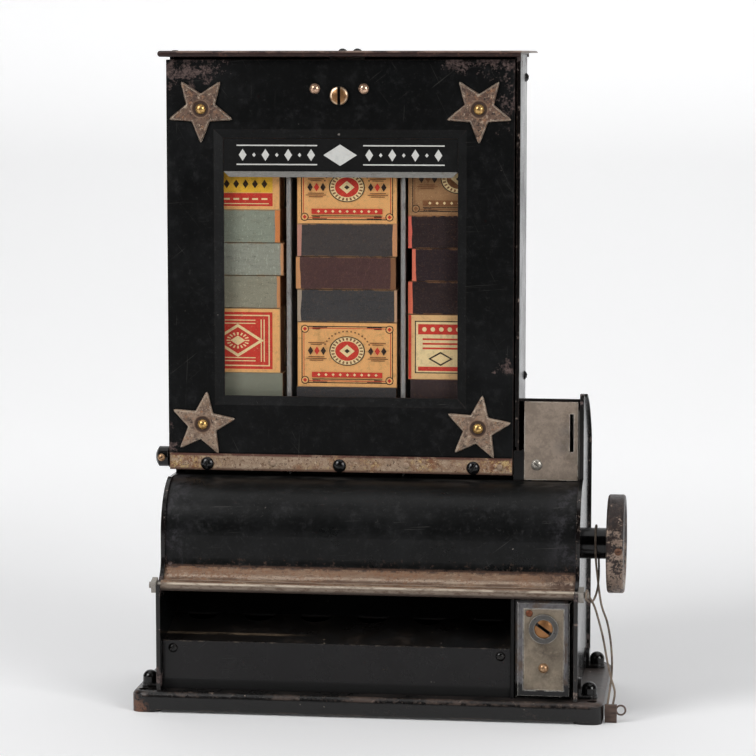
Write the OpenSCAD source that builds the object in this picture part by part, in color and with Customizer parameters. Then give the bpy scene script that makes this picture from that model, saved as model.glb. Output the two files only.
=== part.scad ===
// Counter machine that vends boxes of matches: a glazed magazine of three columns
// stands on a lower body with a pocketed drum, a delivery mouth and a cash drawer.
// X runs to the right, Y to the back, Z up. The origin is the centre of the base on the counter.

/* [Base] */
// Ledge of the base beyond each side plate
base_side = 15; // [13:0.5:30]
// Ledge of the base behind the back panel
base_back = 4; // [3:0.5:12]
// Height of the base's top above the counter
base_h = 12; // [9:0.5:16]
// Sheet of the base pan
base_t = 2; // [1.2:0.1:3]
// Radius of the base's corners in plan
base_r = 9; // [6:0.5:12]
// Rounding of the base's upper edge
base_edge = 3.5; // [2:0.25:5]
// How far the corner pads reach below the rim
pad_drop = 1.6; // [0.8:0.2:4]
// Side of a corner pad
pad_side = 16; // [14:1:20]
// Diameter of the corner screw holes
base_hole_d = 5.5; // [4:0.1:7]
// Distance of the screw holes from the base's edges
base_hole_in = 6.5; // [6:0.25:7]

/* [Lower body] */
// Width of the coin tower and cash bay beside the magazine
tower_w = 36; // [35.5:0.5:40]
// Sheet of the side plates
plate_t = 1.6; // [1.2:0.1:2]
// Sheet of the covers, walls and floors
sheet = 1.2; // [0.9:0.1:1.4]
// Room between the drum and the outside of the back panel
back_room = 2; // [1.8:0.1:6]
// Height of the deck that the magazine stands on
deck_z = 127.5; // [127:0.1:128]
// Radius of the cover's shoulder
shoulder_r = 30; // [28:0.5:32]
// Radius of the flare above the mouth
flare_r = 15; // [13:0.5:16]
// Height of the lip's lower edge
lip_z = 70; // [68:0.5:72]
// Height where the lip meets the cover
lip_top_z = 80; // [78:0.5:82]
// How far the side plates stand proud of the cover
plate_proud = 1.6; // [0.8:0.1:2.2]
// Width of the hem on the plates' edges
hem_w = 2.6; // [1.6:0.1:3.5]
// How far the hem stands out from the plate
hem_out = 0.7; // [0.3:0.1:1.2]
// How far the plates' back edges are rolled out
edge_out = 1.9; // [1:0.1:2.4]
// Diameter of the tie rod at the lip
tie_d = 3.6; // [3:0.1:4.2]
// Height of the tray's front strip above the base
tray_h = 27.5; // [24:0.5:30]
// Setback of the tray's front strip behind the lip
tray_in = 5; // [3:0.5:8]
// Slope of the delivery floor in degrees
floor_slope = 13.5; // [11:0.5:15]
// Depth of the delivery floor
floor_d = 40; // [34:1:42]
// Radius of the floor's half-round notches
notch_r = 9; // [6:0.5:11]
// Width of the cash drawer's bay
bay_w = 33.4; // [33:0.2:35]

/* [Magazine] */
// Face of the door, in front of the base's centre
door_front = 8; // [7:0.5:9]
// Room beside a matchbox in its column, divider included
col_room = 8.2; // [8:0.1:8.6]
// Room between the door's face and the matchboxes
stock_room = 9.5; // [9.3:0.1:10]
// Room over the tallest column of boxes, under the lid
top_room = 32.1; // [30:0.1:45]
// Width of the hem on the walls' front edges
case_hem = 2.2; // [1.8:0.1:2.4]
// Diameter of the wired edge round the lid
lid_bead = 3.5; // [2.5:0.1:4.5]
// Overhang of the lid at the sides and the back
lid_over = 6; // [4:0.5:9]
// Overhang of the lid in front of the door
lid_front = 6; // [4:0.5:9]
// Width of the bright front edge of a column divider
divider_edge = 2.8; // [2:0.1:4]
// Top of the column dividers below the lid
divider_down = 26.5; // [22:0.5:60]

/* [Door] */
// How far the door's left fold stands outside the magazine
door_over = 1.9; // [1.7:0.1:2.5]
// Gap between the door's top and the lid
lid_gap = 3; // [2.6:0.1:5]
// Gap between the deck and the door's rail
door_gap = 3.2; // [3:0.1:4]
// Sheet of the door
door_t = 1; // [0.8:0.1:1.2]
// Depth of the door's folded edge
door_fold = 5; // [4:0.5:5.5]
// Width of the door beside the window
window_side = 31.9; // [30.5:0.1:40]
// Height of the door above the window
window_down = 44; // [40:0.5:60]
// Lower edge of the window above the door's lower edge
window_up = 42.3; // [40:0.5:46]
// Width of the pressed bevel round the window
bevel_w = 5; // [3:0.25:7]
// Depth of the pressed bevel
bevel_d = 3; // [2:0.25:4]
// Thickness of the glass
glass_t = 1.8; // [1.5:0.1:2.4]
// Height of the sign plate at the top of the window
sign_h = 18.6; // [14:0.2:24]
// Height of the bar under the sign
bar_h = 3.2; // [2:0.2:5]
// Radius of the ornamental stars
star_r = 18.7; // [15:0.1:19]
// Distance of the stars from the door's sides
star_side = 19.8; // [19:0.1:24]
// Distance of the upper stars below the door's top
star_down = 27.6; // [24:0.1:30]
// Height of the lower stars above the door's lower edge
star_low = 26; // [25.8:0.1:28]
// Tilt of the lower stars in degrees
star_tilt = 7.6; // [0:0.2:12]
// Height of the hinge rail
rail_h = 9.3; // [8:0.1:11]
// Thickness of the hinge rail
rail_t = 1.6; // [1:0.1:2]
// Distance between the rail's screws
rail_pitch = 76; // [70:1:80]
// Diameter of the hinge rod
rod_d = 3; // [2.4:0.1:3]
// Height of the hinge rod above the door's lower edge
rod_up = 6.8; // [6.4:0.1:7.4]
// Distance of the hinge rod behind the door's face
rod_back = 2.8; // [2.8:0.1:3]
// Diameter of the left hinge collar
collar_d = 11.6; // [10:0.1:12]
// Length of the left hinge collar
collar_l = 7.8; // [6:0.2:10]
// Distance of the door lock below the door's top
lock_down = 20.1; // [18:0.1:24]
// Diameter of the door lock's barrel
lock_d = 10.4; // [9:0.1:12]
// Diameter of the door lock's plug
lock_plug_d = 7.4; // [6:0.1:8]

/* [Stock] */
// Length of a matchbox
box_l = 57; // [54:0.5:58]
// Width of a matchbox
box_w = 37; // [34:0.5:37]
// Thickness of a matchbox
box_t = 18.6; // [17:0.1:19]
// Card of a matchbox sleeve
box_card = 0.6; // [0.4:0.1:1]
// Flat boxes below the first box that stands on edge
low_boxes = 3; // [2:1:3]
// Height of that box's lower edge above the deck, in each column
edge_up = [58, 50.5, 55.5]; // [45:0.5:62]

/* [Drum and drive] */
// Radius of the vending drum
drum_r = 32; // [31.5:0.1:32.2]
// Gap between the drum and the deck's underside
drum_gap = 1.5; // [1:0.1:2]
// Cheek of a drum beside its pocket
drum_cheek = 2; // [1.5:0.1:2.4]
// Diameter of the drum shaft
drum_shaft_d = 8; // [6:0.5:10]
// Clearance round a matchbox in its pocket
pocket_gap = 0.5; // [0.3:0.1:0.8]
// Module of the gears
gear_m = 1.65; // [1.6:0.01:1.7]
// Teeth of the drum gear
gear_n = 36; // [36:3:36]
// Teeth of the drive pinion
pinion_n = 12; // [12:1:12]
// Width of the gears
gear_w = 6; // [4:0.5:8]
// Pressure angle of the gears in degrees
gear_pa = 25; // [25:1:25]
// How much each tooth is thinned for backlash
gear_thin = 0.16; // [0.1:0.02:0.25]
// Height of the knob's axis above the drum's axis
drive_lift = 2; // [0:0.5:4]
// Diameter of the drive shaft
drive_d = 7; // [5:0.5:8]
// Outer radius of the ratchet wheel
ratchet_r = 11; // [10:0.25:11.5]
// Width of the ratchet wheel and its pawl
ratchet_w = 3; // [2:0.25:4]
// Diameter of the knob
knob_d = 55; // [45:1:60]
// Width of the knob's rim
knob_w = 9.5; // [7:0.5:12]
// Diameter of the knob's hub and of the bearing collar
hub_d = 17.4; // [14:0.2:20]
// Length of the bearing collar on the side plate
hub_collar_l = 7.6; // [6:0.2:9]
// Length of the knob's hub
hub_l = 6.6; // [5:0.2:9]

/* [Coin tower] */
// Height of the coin tower's front above the deck
tower_up = 49.5; // [46.5:0.5:54]
// Height of the coin tower's back above the deck
tower_back_up = 18.5; // [15:0.5:22]
// Left edge of the coin plate, from the magazine's wall
coin_in = 3.2; // [2.8:0.2:4]
// Height of the coin plate
coin_h = 44.4; // [42:0.2:45]
// Thickness of the coin plate
coin_t = 1.6; // [1:0.1:2.4]
// Width of the coin slot
slot_w = 2.2; // [1.8:0.1:2.6]
// Height of the coin slot
slot_h = 21.5; // [20:0.5:23]
// Lower edge of the slot above the deck
slot_up = 16.6; // [14:0.2:18]
// Slot's centre from the right plate's inner face
slot_in = 4.6; // [4.2:0.1:5.5]

/* [Cash drawer] */
// Gap between the drawer's front and the rolled lip
cash_top_gap = 0.65; // [0.5:0.05:3]
// Thickness of the drawer's front frame
cash_t = 2.4; // [1.8:0.1:3]
// Height of the drawer's box
cash_box_h = 41; // [34:0.5:43]
// Depth of the drawer's box
cash_d = 92; // [80:1:96]
// Width of the bevel on the drawer's front
cash_bevel = 1.6; // [0.8:0.1:2]
// Width of the frame round the drawer's nickel plate
cash_frame = 4.6; // [3.5:0.1:6]
// Thickness of the nickel plate
cash_plate_t = 0.8; // [0.5:0.1:1.2]
// Height of the drawer's lock above the base
cash_lock_up = 39.5; // [36:0.5:41]
// Outer diameter of the drawer's lock ring
cash_ring_d = 16.4; // [15:0.2:18]
// Diameter of the drawer's lock plug
cash_plug_d = 10.4; // [8:0.2:11]
// Height of the drawer's pull above the base
cash_pull_up = 17.4; // [13:0.5:20]

/* [Fits] */
// Running fit of a shaft or pin, on the radius
run_fit = 0.05; // [0.03:0.01:0.09]
// Gap beside pieces that slide or lie loose
slide_gap = 0.3; // [0.2:0.05:0.5]

/* [Hidden] */
$fn = 48;
EPS = 0.01;

// Depth of the stock and the drum under it
door_y = -door_front;
box_y = door_y + stock_room;
drum_y = box_y + box_w / 2;
body_back = drum_y + drum_r + back_room;

// Widths, from three columns of boxes outwards
col_pitch = box_l + col_room;
case_w = 3 * col_pitch + 2 * sheet;
body_w = case_w + tower_w;
base_w = body_w + 2 * base_side;
base_d = 2 * (body_back + base_back);

// Height of the lid's underside, from the tallest column
case_top = deck_z + max(edge_up) + 2 * box_w + 4 * box_t + top_room;

// Walls of the lower body
plate_out = body_w / 2;
plate_in = plate_out - plate_t;
mid_y = door_y - shoulder_r;
low_y = mid_y - flare_r;
shoulder_z = deck_z - shoulder_r;
inner_x1 = plate_in - bay_w;
inner_x0 = inner_x1 - sheet;
cover_reach = 5;
bush_wall = 2;
knob_bush_wall = 2.5;
bush_flange = 4;
bush_flange_t = 1.5;

// Tie rod along the lip's rolled edge
tie_in = [3, 1];
tie_y = low_y + tie_in.x;
tie_z = lip_z + tie_in.y;
tie_nut = 6.4;
tie_nut_t = 3;
tie_end = [1.4, 2.6];
roll_r = tie_d / 2 + sheet + run_fit;
wall_hem_d = 2.2;
wall_in = 4;
wall_front = low_y + wall_in;

// Walls of the magazine
case_x0 = -plate_out;
case_x1 = case_x0 + case_w;
case_in0 = case_x0 + sheet;
case_in1 = case_x1 - sheet;
door_rest = 0.4;
case_y0 = door_y + door_t + door_rest;
case_y1 = box_y + box_w + slide_gap + sheet;
case_mid = (case_in0 + case_in1) / 2;
case_hem_d = 5;
columns = [for (i = [-1:1]) case_mid + i * col_pitch];
divider_out = 1;
divider_in = 0.6;

// Door
door_side = 0.9;
door_z = deck_z + door_gap;
door_h = case_top - lid_gap - door_z;
door_x1 = case_x1 - case_hem - door_side;
door_x0 = case_x0 - door_over;
door_mid = (door_x0 + door_x1) / 2;
window_w = door_x1 - door_x0 - 2 * window_side;
window_h = door_h - window_up - window_down;
panel_up = 0.8;
window_z = door_z + window_up;
rod_y = door_y + rod_back;
rod_z = door_z + rod_up;
ear_r = rod_back;
glass_y = door_y + bevel_d + door_t;
lock_z = door_z + door_h - lock_down;
lock_l = 13;
lock_body_r = lock_plug_d / 2 + 0.8;
lock_rivet_span = 27.6;
lock_rivet_up = 3.9;
lock_rivets = [for (s = [-0.5, 0.5]) [door_mid + s * lock_rivet_span, lock_z + lock_rivet_up]];
star_places = [for (x = [door_x0 + star_side, door_x1 - star_side], up = [1, 0])
    [x, door_z + (up == 1 ? door_h - star_down : star_low), up == 1 ? 180 : -star_tilt]];
star_t = 1.2;
star_bevel = 0.7;
star_seat_r = 4.7;
star_seat = star_t + star_bevel - 0.6;
rivet_r = 3;
rivet_h = 2;
rivet_shank = 1.3;
rail_screws_x = [for (i = [-1:1]) door_mid + i * rail_pitch];
rail_screw_up = 3.6;
rail_screw_z = door_z + rail_screw_up;
rail_screw_r = 3.8;
rail_screw_h = 1.9;
// Height over the hinge rod that the door's foot needs free inside the magazine
hinge_clear = 9;

// Stock and drum
drum_l = box_l + 2 * (pocket_gap + drum_cheek);
drum_z = deck_z - sheet - drum_gap - drum_r;
stack_z = drum_z + drum_r + slide_gap;
pocket_half = box_w / 2 + pocket_gap;
pocket_top = sqrt(drum_r * drum_r - pocket_half * pocket_half);
pocket_d = box_t + pocket_gap;
pocket_turn = [30, 150, 270];
deck_room = 1;
deck_front_room = 0.6;

// Gears
gear_c = gear_m * (gear_n + pinion_n) / 2;
drive_y = drum_y - sqrt(gear_c * gear_c - drive_lift * drive_lift);
drive_z = drum_z + drive_lift;
mesh_turn = atan2(drive_z - drum_z, drive_y - drum_y);
gear_in = 4.4;
ratchet_in = 5;
gear_x = inner_x1 + gear_in;
ratchet_x = gear_x + gear_w + ratchet_in;
ratchet_n = 12;
ratchet_depth = 2.4;
pawl_at = 60;
pawl_l = 16;
pawl_lift = 0.4;
pawl_half = 1.9;
pawl_eye_r = 3;
pawl_tip = [drive_y, drive_z] + (ratchet_r + pawl_lift) * [cos(pawl_at), sin(pawl_at)];
pawl_pivot = pawl_tip + pawl_l * [-sin(pawl_at), cos(pawl_at)];
stud_r = 1.6;
stud_over = 1;
stud_x1 = ratchet_x + ratchet_w + stud_over;
spring_out = [6.5, 10];
spring_post = pawl_tip + spring_out;
spring_t = 0.5;
spring_in = 0.4;
shaft_end = 2.5;
hub_x = plate_out + hem_out + hub_collar_l;
knob_x = hub_x + slide_gap + hub_l;
knob_screw_in = 2.6;
knob_screw_r = 1.1;
knob_screw_l = 2.6;
knob_soft = 1.4;
knob_dish = 1.6;
knob_rim = 4;

// Coin tower
tower_z = deck_z + tower_up;
tower_back_z = deck_z + tower_back_up;
arch_run = body_back - door_y + plate_proud;
arch_drop = tower_z - tower_back_z;
arch_r = (arch_run * arch_run + arch_drop * arch_drop) / (2 * arch_drop);
arch_c = [door_y - plate_proud, tower_z - arch_r];
cover_in = 3;
tower_under = arch_c.y + sqrt(pow(arch_r - cover_in - sheet, 2) - arch_run * arch_run);
coin_x0 = case_x1 + coin_in;
coin_side = 1;
coin_up = 0.5;
coin_x1 = plate_in - coin_side;
coin_z = deck_z + coin_up;
slot_x = plate_in - slot_in;
slot_z = deck_z + slot_up;
coin_screw_in = [7, 8.6];
coin_screw = [coin_x0, coin_z] + coin_screw_in;
coin_lug_h = 16;

// Delivery
tray_y = low_y + tray_in;
tray_z = base_h + tray_h;
floor_x0 = -plate_in;
floor_x1 = inner_x0;
floor_under = 1.6;
tray_screw_in = [6, 4.4];
tray_screws_x = [floor_x0 + tray_screw_in.x, floor_x1 - tray_screw_in.x];
tray_screws = [for (x = tray_screws_x) [x, tray_z - tray_screw_in.y]];
screw_r = 2.7;
screw_h = 1.7;
shank_r = 1.3;

// Cash drawer
drawer_gap = 0.9;
cash_x0 = inner_x1 + drawer_gap;
cash_x1 = plate_in - drawer_gap;
cash_mid = (cash_x0 + cash_x1) / 2;
cash_in = 3;
cash_y = low_y + cash_in;
cash_z = base_h + slide_gap;
cash_h = tie_z - roll_r - cash_top_gap - cash_z;
cash_lock_z = base_h + cash_lock_up;
cash_sunk = 0.4;
cash_face_y = cash_y + cash_sunk;
cash_lock_l = 11;
cash_ring_wall = 2;
cash_cam_l = 11.5;
cash_cam_y = cash_face_y + cash_lock_l + slide_gap;
cash_plate_gap = 0.15;

// Cams of both locks
cam_t = 1.6;
cam_half = 3;
cam_room = 1.5;
tab_over = 1;
tab_down = 2;

// String and tag beside the base's front right corner, from the foot of the right plate's front edge
string_d = 1.2;
string_at = [plate_out, low_y, 0];
string_route = [
    [17, 4, 9.6], [17.4, 4.4, 12], [18.2, 6, 18], [19, 8.6, 26], [19, 11, 34],
    [18, 13, 44], [16, 14.6, 54], [13, 16, 62], [11.4, 17.6, 70], [10.2, 20, 78],
    [9.2, 22, 86], [8.8, 23.2, 92], [8.6, 24, 98], [8.5, 27, 102.4], [8.5, 31.6, 104.6],
    [8.5, 36.8, 104.2], [8.5, 41, 101.2], [8.6, 43.2, 97.4], [9, 43, 92], [9.8, 40, 84],
    [10.2, 34, 77], [10, 26, 71], [9, 19, 67], [7.6, 13, 65.6], [5.8, 8, 66.6],
    [4.6, 4.8, 69.2], [4.7, 3, 68.4], [4.8, 1.2, 69.2], [4.9, 0.4, 71], [5.1, 1.2, 72.8],
    [5.3, 3, 73.6], [5.5, 4.8, 72.8], [6.2, 6.6, 70], [9.4, 9.4, 63],
    [13, 10.6, 50], [14.8, 10, 42], [16.8, 8, 32], [19, 5.6, 24],
    [21, 4.6, 17], [20, 4, 9.6]];
tag_size = [6.6, 2.4, 10];
tag_at = [15.6, 2.8, 0];
tag_eye_r = 2.6;
tag_wire_d = 1;

// Shapes used by many pieces

module slab(x0, x1, y0, y1, z0, z1) {
    translate([x0, y0, z0]) cube([x1 - x0, y1 - y0, z1 - z0]);
}

// A (y, z) outline drawn out along X
module prism_x(x0, x1) {
    translate([x0, 0, 0]) rotate([90, 0, 90]) linear_extrude(x1 - x0) children();
}

// An (x, z) outline drawn out along Y
module prism_y(y0, y1) {
    translate([0, y1, 0]) rotate([90, 0, 0]) linear_extrude(y1 - y0) children();
}

module pin_x(x0, x1, y, z, r) {
    translate([x0, y, z]) rotate([0, 90, 0]) cylinder(r = r, h = x1 - x0);
}

module pin_y(y0, y1, x, z, r) {
    translate([x, y1, z]) rotate([90, 0, 0]) cylinder(r = r, h = y1 - y0);
}

// A domed head, flat side at z = 0
module cap(r, h) {
    ball = (r * r + h * h) / (2 * h);
    intersection() {
        translate([0, 0, h - ball]) sphere(ball);
        cylinder(r = r, h = h);
    }
}

// A round-head screw whose head stands on z = 0 and whose shank goes down
module screw(r, h, shank, length, turn = 0, slot = 0.8) {
    difference() {
        cap(r, h);
        rotate(turn) translate([-r, -slot / 2, h * 0.55]) cube([2 * r, slot, h]);
    }
    translate([0, 0, -length]) cylinder(r = shank, h = length + EPS);
}

// A block whose front and back are rectangles of two sizes, the sides slanting between them
module taper_y(x, z, front, back, y0, y1) {
    reach = max(front.x, back.x) / 2 + 1;
    rise = max(front.y, back.y) / 2 + 1;
    intersection() {
        translate([0, 0, z - rise]) linear_extrude(2 * rise) polygon([
            [x - front.x / 2, y0], [x + front.x / 2, y0], [x + back.x / 2, y1], [x - back.x / 2, y1]]);
        prism_x(x - reach, x + reach) polygon([
            [y0, z - front.y / 2], [y1, z - back.y / 2], [y1, z + back.y / 2], [y0, z + front.y / 2]]);
    }
}

module facing_front(x, y, z) { translate([x, y, z]) rotate([90, 0, 0]) children(); }
module facing_right(x, y, z) { translate([x, y, z]) rotate([0, 90, 0]) children(); }
module facing_left(x, y, z) { translate([x, y, z]) rotate([0, -90, 0]) children(); }
module facing_back(x, y, z) { translate([x, y, z]) rotate([-90, 0, 0]) children(); }

module rounded_rect(w, d, r) {
    translate([-w / 2 + r, -d / 2]) square([w - 2 * r, d]);
    translate([-w / 2, -d / 2 + r]) square([w, d - 2 * r]);
    for (sx = [-1, 1], sy = [-1, 1]) {
        translate([sx * (w / 2 - r), sy * (d / 2 - r)]) circle(r);
    }
}

// Side outline of the lower body, drawn in by the given amount
module body_outline(in, back_in = 0) {
    back = body_back - back_in;
    translate([low_y + in, base_h]) square([back - low_y - in, lip_z - base_h]);
    translate([mid_y + in, lip_z - EPS]) square([back - mid_y - in, shoulder_z - lip_z + EPS]);
    translate([door_y, shoulder_z - EPS]) square([back - door_y, shoulder_r - in + EPS]);
    intersection() {
        translate([door_y, shoulder_z]) circle(shoulder_r - in);
        translate([mid_y - cover_reach, shoulder_z - EPS])
            square([shoulder_r + cover_reach + EPS, shoulder_r + cover_reach]);
    }
    difference() {
        translate([low_y + in, lip_z - EPS]) square([flare_r + EPS, flare_r + EPS]);
        translate([low_y, lip_z + flare_r]) circle(flare_r + in);
    }
}

// Side outline of the coin tower above the deck, drawn in by the given amount
module tower_outline(in, front_in, back_in) {
    intersection() {
        translate(arch_c) circle(arch_r - in);
        translate([door_y - plate_proud + front_in, deck_z - plate_t])
            square([arch_run - front_in - back_in, tower_z - deck_z + plate_t]);
    }
}

// Lower body and base

module base_outline(in) { rounded_rect(base_w - 2 * in, base_d - 2 * in, base_r - in); }

function base_holes() = [for (sx = [-1, 1], sy = [-1, 1])
    [sx * (base_w / 2 - base_hole_in), sy * (base_d / 2 - base_hole_in)]];

// Upright section whose two upper corners are rounded
module pan_section(half, top) {
    translate([-half, 0]) square([2 * half, top - base_edge]);
    translate([base_edge - half, 0]) square([2 * (half - base_edge), top]);
    for (s = [-1, 1]) translate([s * (half - base_edge), top - base_edge]) circle(base_edge);
}

module pan_pads() {
    pad_in = pad_side / 2 + 0.6;
    at = [base_w / 2 - pad_in, base_d / 2 - pad_in];
    for (sx = [-1, 1], sy = [-1, 1]) {
        translate([sx * at.x, sy * at.y, 0]) linear_extrude(base_h - base_t)
            rounded_rect(pad_side, pad_side, pad_side / 3);
    }
}

module base_plate() color("#26231f") difference() {
    top = base_h - pad_drop;
    run = base_w / 2 - base_r;
    depth = base_d / 2 - base_r;
    union() {
        difference() {
            translate([0, 0, pad_drop]) union() {
                prism_x(-run, run) pan_section(base_d / 2, top);
                prism_y(-depth, depth) pan_section(base_w / 2, top);
                for (sx = [-1, 1], sy = [-1, 1]) {
                    translate([sx * run, sy * depth, 0]) rotate_extrude() intersection() {
                        pan_section(base_r, top);
                        square([base_r, top]);
                    }
                }
            }
            translate([0, 0, -1]) linear_extrude(base_h - base_t + 1) base_outline(base_edge + base_t);
        }
        pan_pads();
    }
    for (p = base_holes()) translate([p.x, p.y, -1]) cylinder(d = base_hole_d, h = base_h + 2);
}

hem_up = 3;
edge_t = 1.6;
roll_in = 14;

// A plate's outline less the same outline set back leaves the hem along its front
module hem(x0, x1) {
    prism_x(x0, x1) difference() {
        children();
        translate([hem_w, 0]) children();
        translate([low_y, base_h]) square([body_back - low_y, hem_up]);
    }
}

// Roll along a plate's back edge, up to the deck
module back_roll(x0, x1) { slab(x0, x1, body_back - edge_t, body_back, base_h + hem_up, deck_z); }

// The same roll on over the coin tower's arch
module arch_roll(x0, x1) {
    prism_x(x0, x1) difference() {
        tower_outline(0, roll_in, 0);
        tower_outline(edge_t, -1, edge_t);
    }
}

module plate_bores() {
    pin_x(-plate_out - 2, plate_out + 2, tie_y, tie_z, tie_d / 2 + run_fit);
}

module left_side_plate() color("#1d1c1b") difference() {
    union() {
        prism_x(-plate_out, -plate_in) body_outline(-plate_proud);
        hem(-plate_out - hem_out, -plate_in) body_outline(-plate_proud);
        back_roll(-plate_out - edge_out, -plate_in);
    }
    plate_bores();
    pin_x(-plate_out - 2, -plate_in + 1, drum_y, drum_z, drum_shaft_d / 2 + bush_wall);
    // The plate's top is level with the deck, so that the magazine's wall stands on it
    slab(-plate_out - 5, -plate_in + 1, mid_y, body_back + 5, deck_z, deck_z + 10);
}

module right_plate_outline() {
    body_outline(-plate_proud);
    tower_outline(0, 0, 0);
}

module right_side_plate() color("#1d1c1b") difference() {
    union() {
        prism_x(plate_in, plate_out) right_plate_outline();
        hem(plate_in, plate_out + hem_out) right_plate_outline();
        back_roll(plate_in, plate_out + edge_out);
        arch_roll(plate_in, plate_out + edge_out);
    }
    plate_bores();
    pin_x(plate_in - 1, plate_out + 2, drive_y, drive_z, drive_d / 2 + knob_bush_wall);
}

// Partition of the cash bay, carried up to hold the gears
module inner_wall() color("#201f1d") {
    difference() {
        union() {
            prism_x(inner_x0, inner_x1) intersection() {
                body_outline(sheet + slide_gap, sheet);
                translate([wall_front, base_h]) square([body_back - wall_front, deck_z - sheet - base_h]);
            }
            // Hemmed front edge beside the drawer
            translate([inner_x0 + sheet / 2, wall_front, base_h])
                cylinder(d = wall_hem_d, h = tie_z - roll_r - slide_gap - base_h);
            // Tab that the drawer's lock turns up behind
            slab(inner_x1 - EPS, cash_mid + tab_over, cash_cam_y - cam_room - sheet, cash_cam_y - cam_room,
                cash_lock_z + cash_ring_d / 2 - tab_over, tie_z - roll_r - tab_down);
        }
        pin_x(inner_x0 - 5, inner_x1 + 5, tie_y, tie_z, roll_r + slide_gap);
        pin_x(inner_x0 - 5, inner_x1 + 5, drum_y, drum_z, drum_shaft_d / 2 + bush_wall);
        pin_x(inner_x0 - 5, inner_x1 + 5, drive_y, drive_z, drive_d / 2 + bush_wall);
    }
    pin_x(inner_x0, stud_x1, pawl_pivot.x, pawl_pivot.y, stud_r);
    pin_x(inner_x0, stud_x1, spring_post.x, spring_post.y, stud_r);
}

lug_y = [-42, 40];
lug_w = 11;
lug_h = 11;
lug_t = 2;
lug_out = 11;
nut_r = 4.2;
nut_h = 3.6;
nut_dome = 3.4;
nut_out = lug_t + 4.4;

module lug() {
    // Upright leg with a round top against the side plate, foot on the base
    prism_x(0, lug_t) {
        translate([-lug_w / 2, 0]) square([lug_w, lug_h - lug_w / 2]);
        translate([0, lug_h - lug_w / 2]) circle(lug_w / 2);
    }
    translate([0, -lug_w / 2, 0]) cube([lug_out - lug_w / 2, lug_w, lug_t]);
    translate([lug_out - lug_w / 2, 0, 0]) cylinder(d = lug_w, h = lug_t);
    // Domed nut on the foot
    translate([nut_out, 0, lug_t]) cylinder(r = nut_r, h = nut_h);
    translate([nut_out, 0, lug_t + nut_h - EPS]) cap(nut_r, nut_dome);
}

module corner_lugs() color("#2b2724") for (y = lug_y) {
    translate([plate_out + slide_gap, y, base_h]) lug();
    mirror([1, 0, 0]) translate([plate_out + slide_gap, y, base_h]) lug();
}

module drum_cover() color("#161616") prism_x(-plate_in, plate_in) intersection() {
    difference() {
        body_outline(0);
        body_outline(sheet);
    }
    translate([low_y, lip_top_z]) square([door_y - low_y, deck_z - lip_top_z]);
}

// Flared lip whose lower edge is rolled round the tie rod
module delivery_lip() color("#8a7a68") {
    difference() {
        union() {
            prism_x(-plate_in, plate_in) intersection() {
                difference() {
                    body_outline(0);
                    body_outline(sheet);
                }
                translate([low_y + 1, lip_z - 1]) square([flare_r + 2, lip_top_z - lip_z + 1 - EPS]);
            }
            pin_x(-plate_in, plate_in, tie_y, tie_z, roll_r);
        }
        pin_x(-plate_in - 1, plate_in + 1, tie_y, tie_z, tie_d / 2 + run_fit);
    }
}

module tie_rod() color("#9a948a") {
    seat = plate_out + hem_out;
    pin_x(-seat - tie_nut_t - tie_end[0], seat + tie_nut_t + tie_end[1], tie_y, tie_z, tie_d / 2);
    for (s = [-1, 1]) difference() {
        translate([s * (seat + tie_nut_t / 2), tie_y, tie_z]) rotate([20, 0, 0])
            cube([tie_nut_t, tie_nut, tie_nut], center = true);
        pin_x(-2 * seat, 2 * seat, tie_y, tie_z, tie_d / 2 + run_fit);
    }
}

floor_y0 = tray_y + sheet;
floor_y1 = floor_y0 + floor_d;
floor_rise = tan(floor_slope);

function floor_z(y) = tray_z - floor_under + (y - floor_y0) * floor_rise;

// Sloping floor with turned-down edges; its back edge has half-round notches, two to a column
module delivery_floor() color("#232220") difference() {
    front = [floor_y0, floor_z(floor_y0)];
    back = [floor_y1, floor_z(floor_y1)];
    union() {
        prism_x(floor_x0, floor_x1) polygon([front, back, back - [0, sheet], front - [0, sheet]]);
        slab(floor_x0, floor_x1, floor_y0, floor_y0 + sheet, base_h, front.y);
        for (x = [floor_x0, floor_x1 - sheet]) {
            prism_x(x, x + sheet)
                polygon([[floor_y0, base_h], [floor_y1, base_h], back - [0, EPS], front - [0, EPS]]);
        }
    }
    for (x = columns, s = [-1, 1]) {
        translate([x + s * col_pitch / 4, floor_y1, 0]) cylinder(r = notch_r, h = deck_z);
    }
    for (p = tray_screws) pin_y(floor_y0 - 5, floor_y0 + 5, p.x, p.y, shank_r + run_fit);
}

// Sheet bent round the drum's underside, so that a box leaves its pocket only towards the floor
module drum_apron() color("#232220") {
    mid = [drum_y, drum_z];
    r0 = drum_r + 2 * slide_gap;
    reach = 2 * drum_r;
    back_a = -35;
    front_a = -112;
    lap_a = -109;
    edge = mid + (r0 + sheet / 2) * [cos(lap_a), sin(lap_a)];
    end = [floor_y1 + slide_gap, floor_z(floor_y1)];
    prism_x(floor_x0, floor_x1) difference() {
        intersection() {
            translate(mid) circle(r0 + sheet, $fn = 96);
            polygon([mid, mid + reach * [cos(back_a), sin(back_a)], mid + reach * [0.4, -1.4],
                mid + reach * [cos(front_a), sin(front_a)]]);
        }
        translate(mid) circle(r0, $fn = 96);
    }
    prism_x(floor_x0, floor_x1)
        polygon([edge - [0, sheet / 2], edge + [0, sheet / 2], end, end - [0, sheet]]);
}

module tray_front() color("#111111") difference() {
    slab(floor_x0 + 0.2, floor_x1 - wall_hem_d / 4, tray_y, tray_y + sheet, base_h, tray_z);
    for (p = tray_screws) pin_y(tray_y - 5, tray_y + 5, p.x, p.y, shank_r + run_fit);
}

back_y = body_back - sheet;
back_screws_x = [-plate_in + 12, case_mid, inner_x0 - 12, plate_in - 12];
back_screws = [for (x = back_screws_x, z = [base_h + 10, deck_z - 14]) [x, z]];

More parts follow.
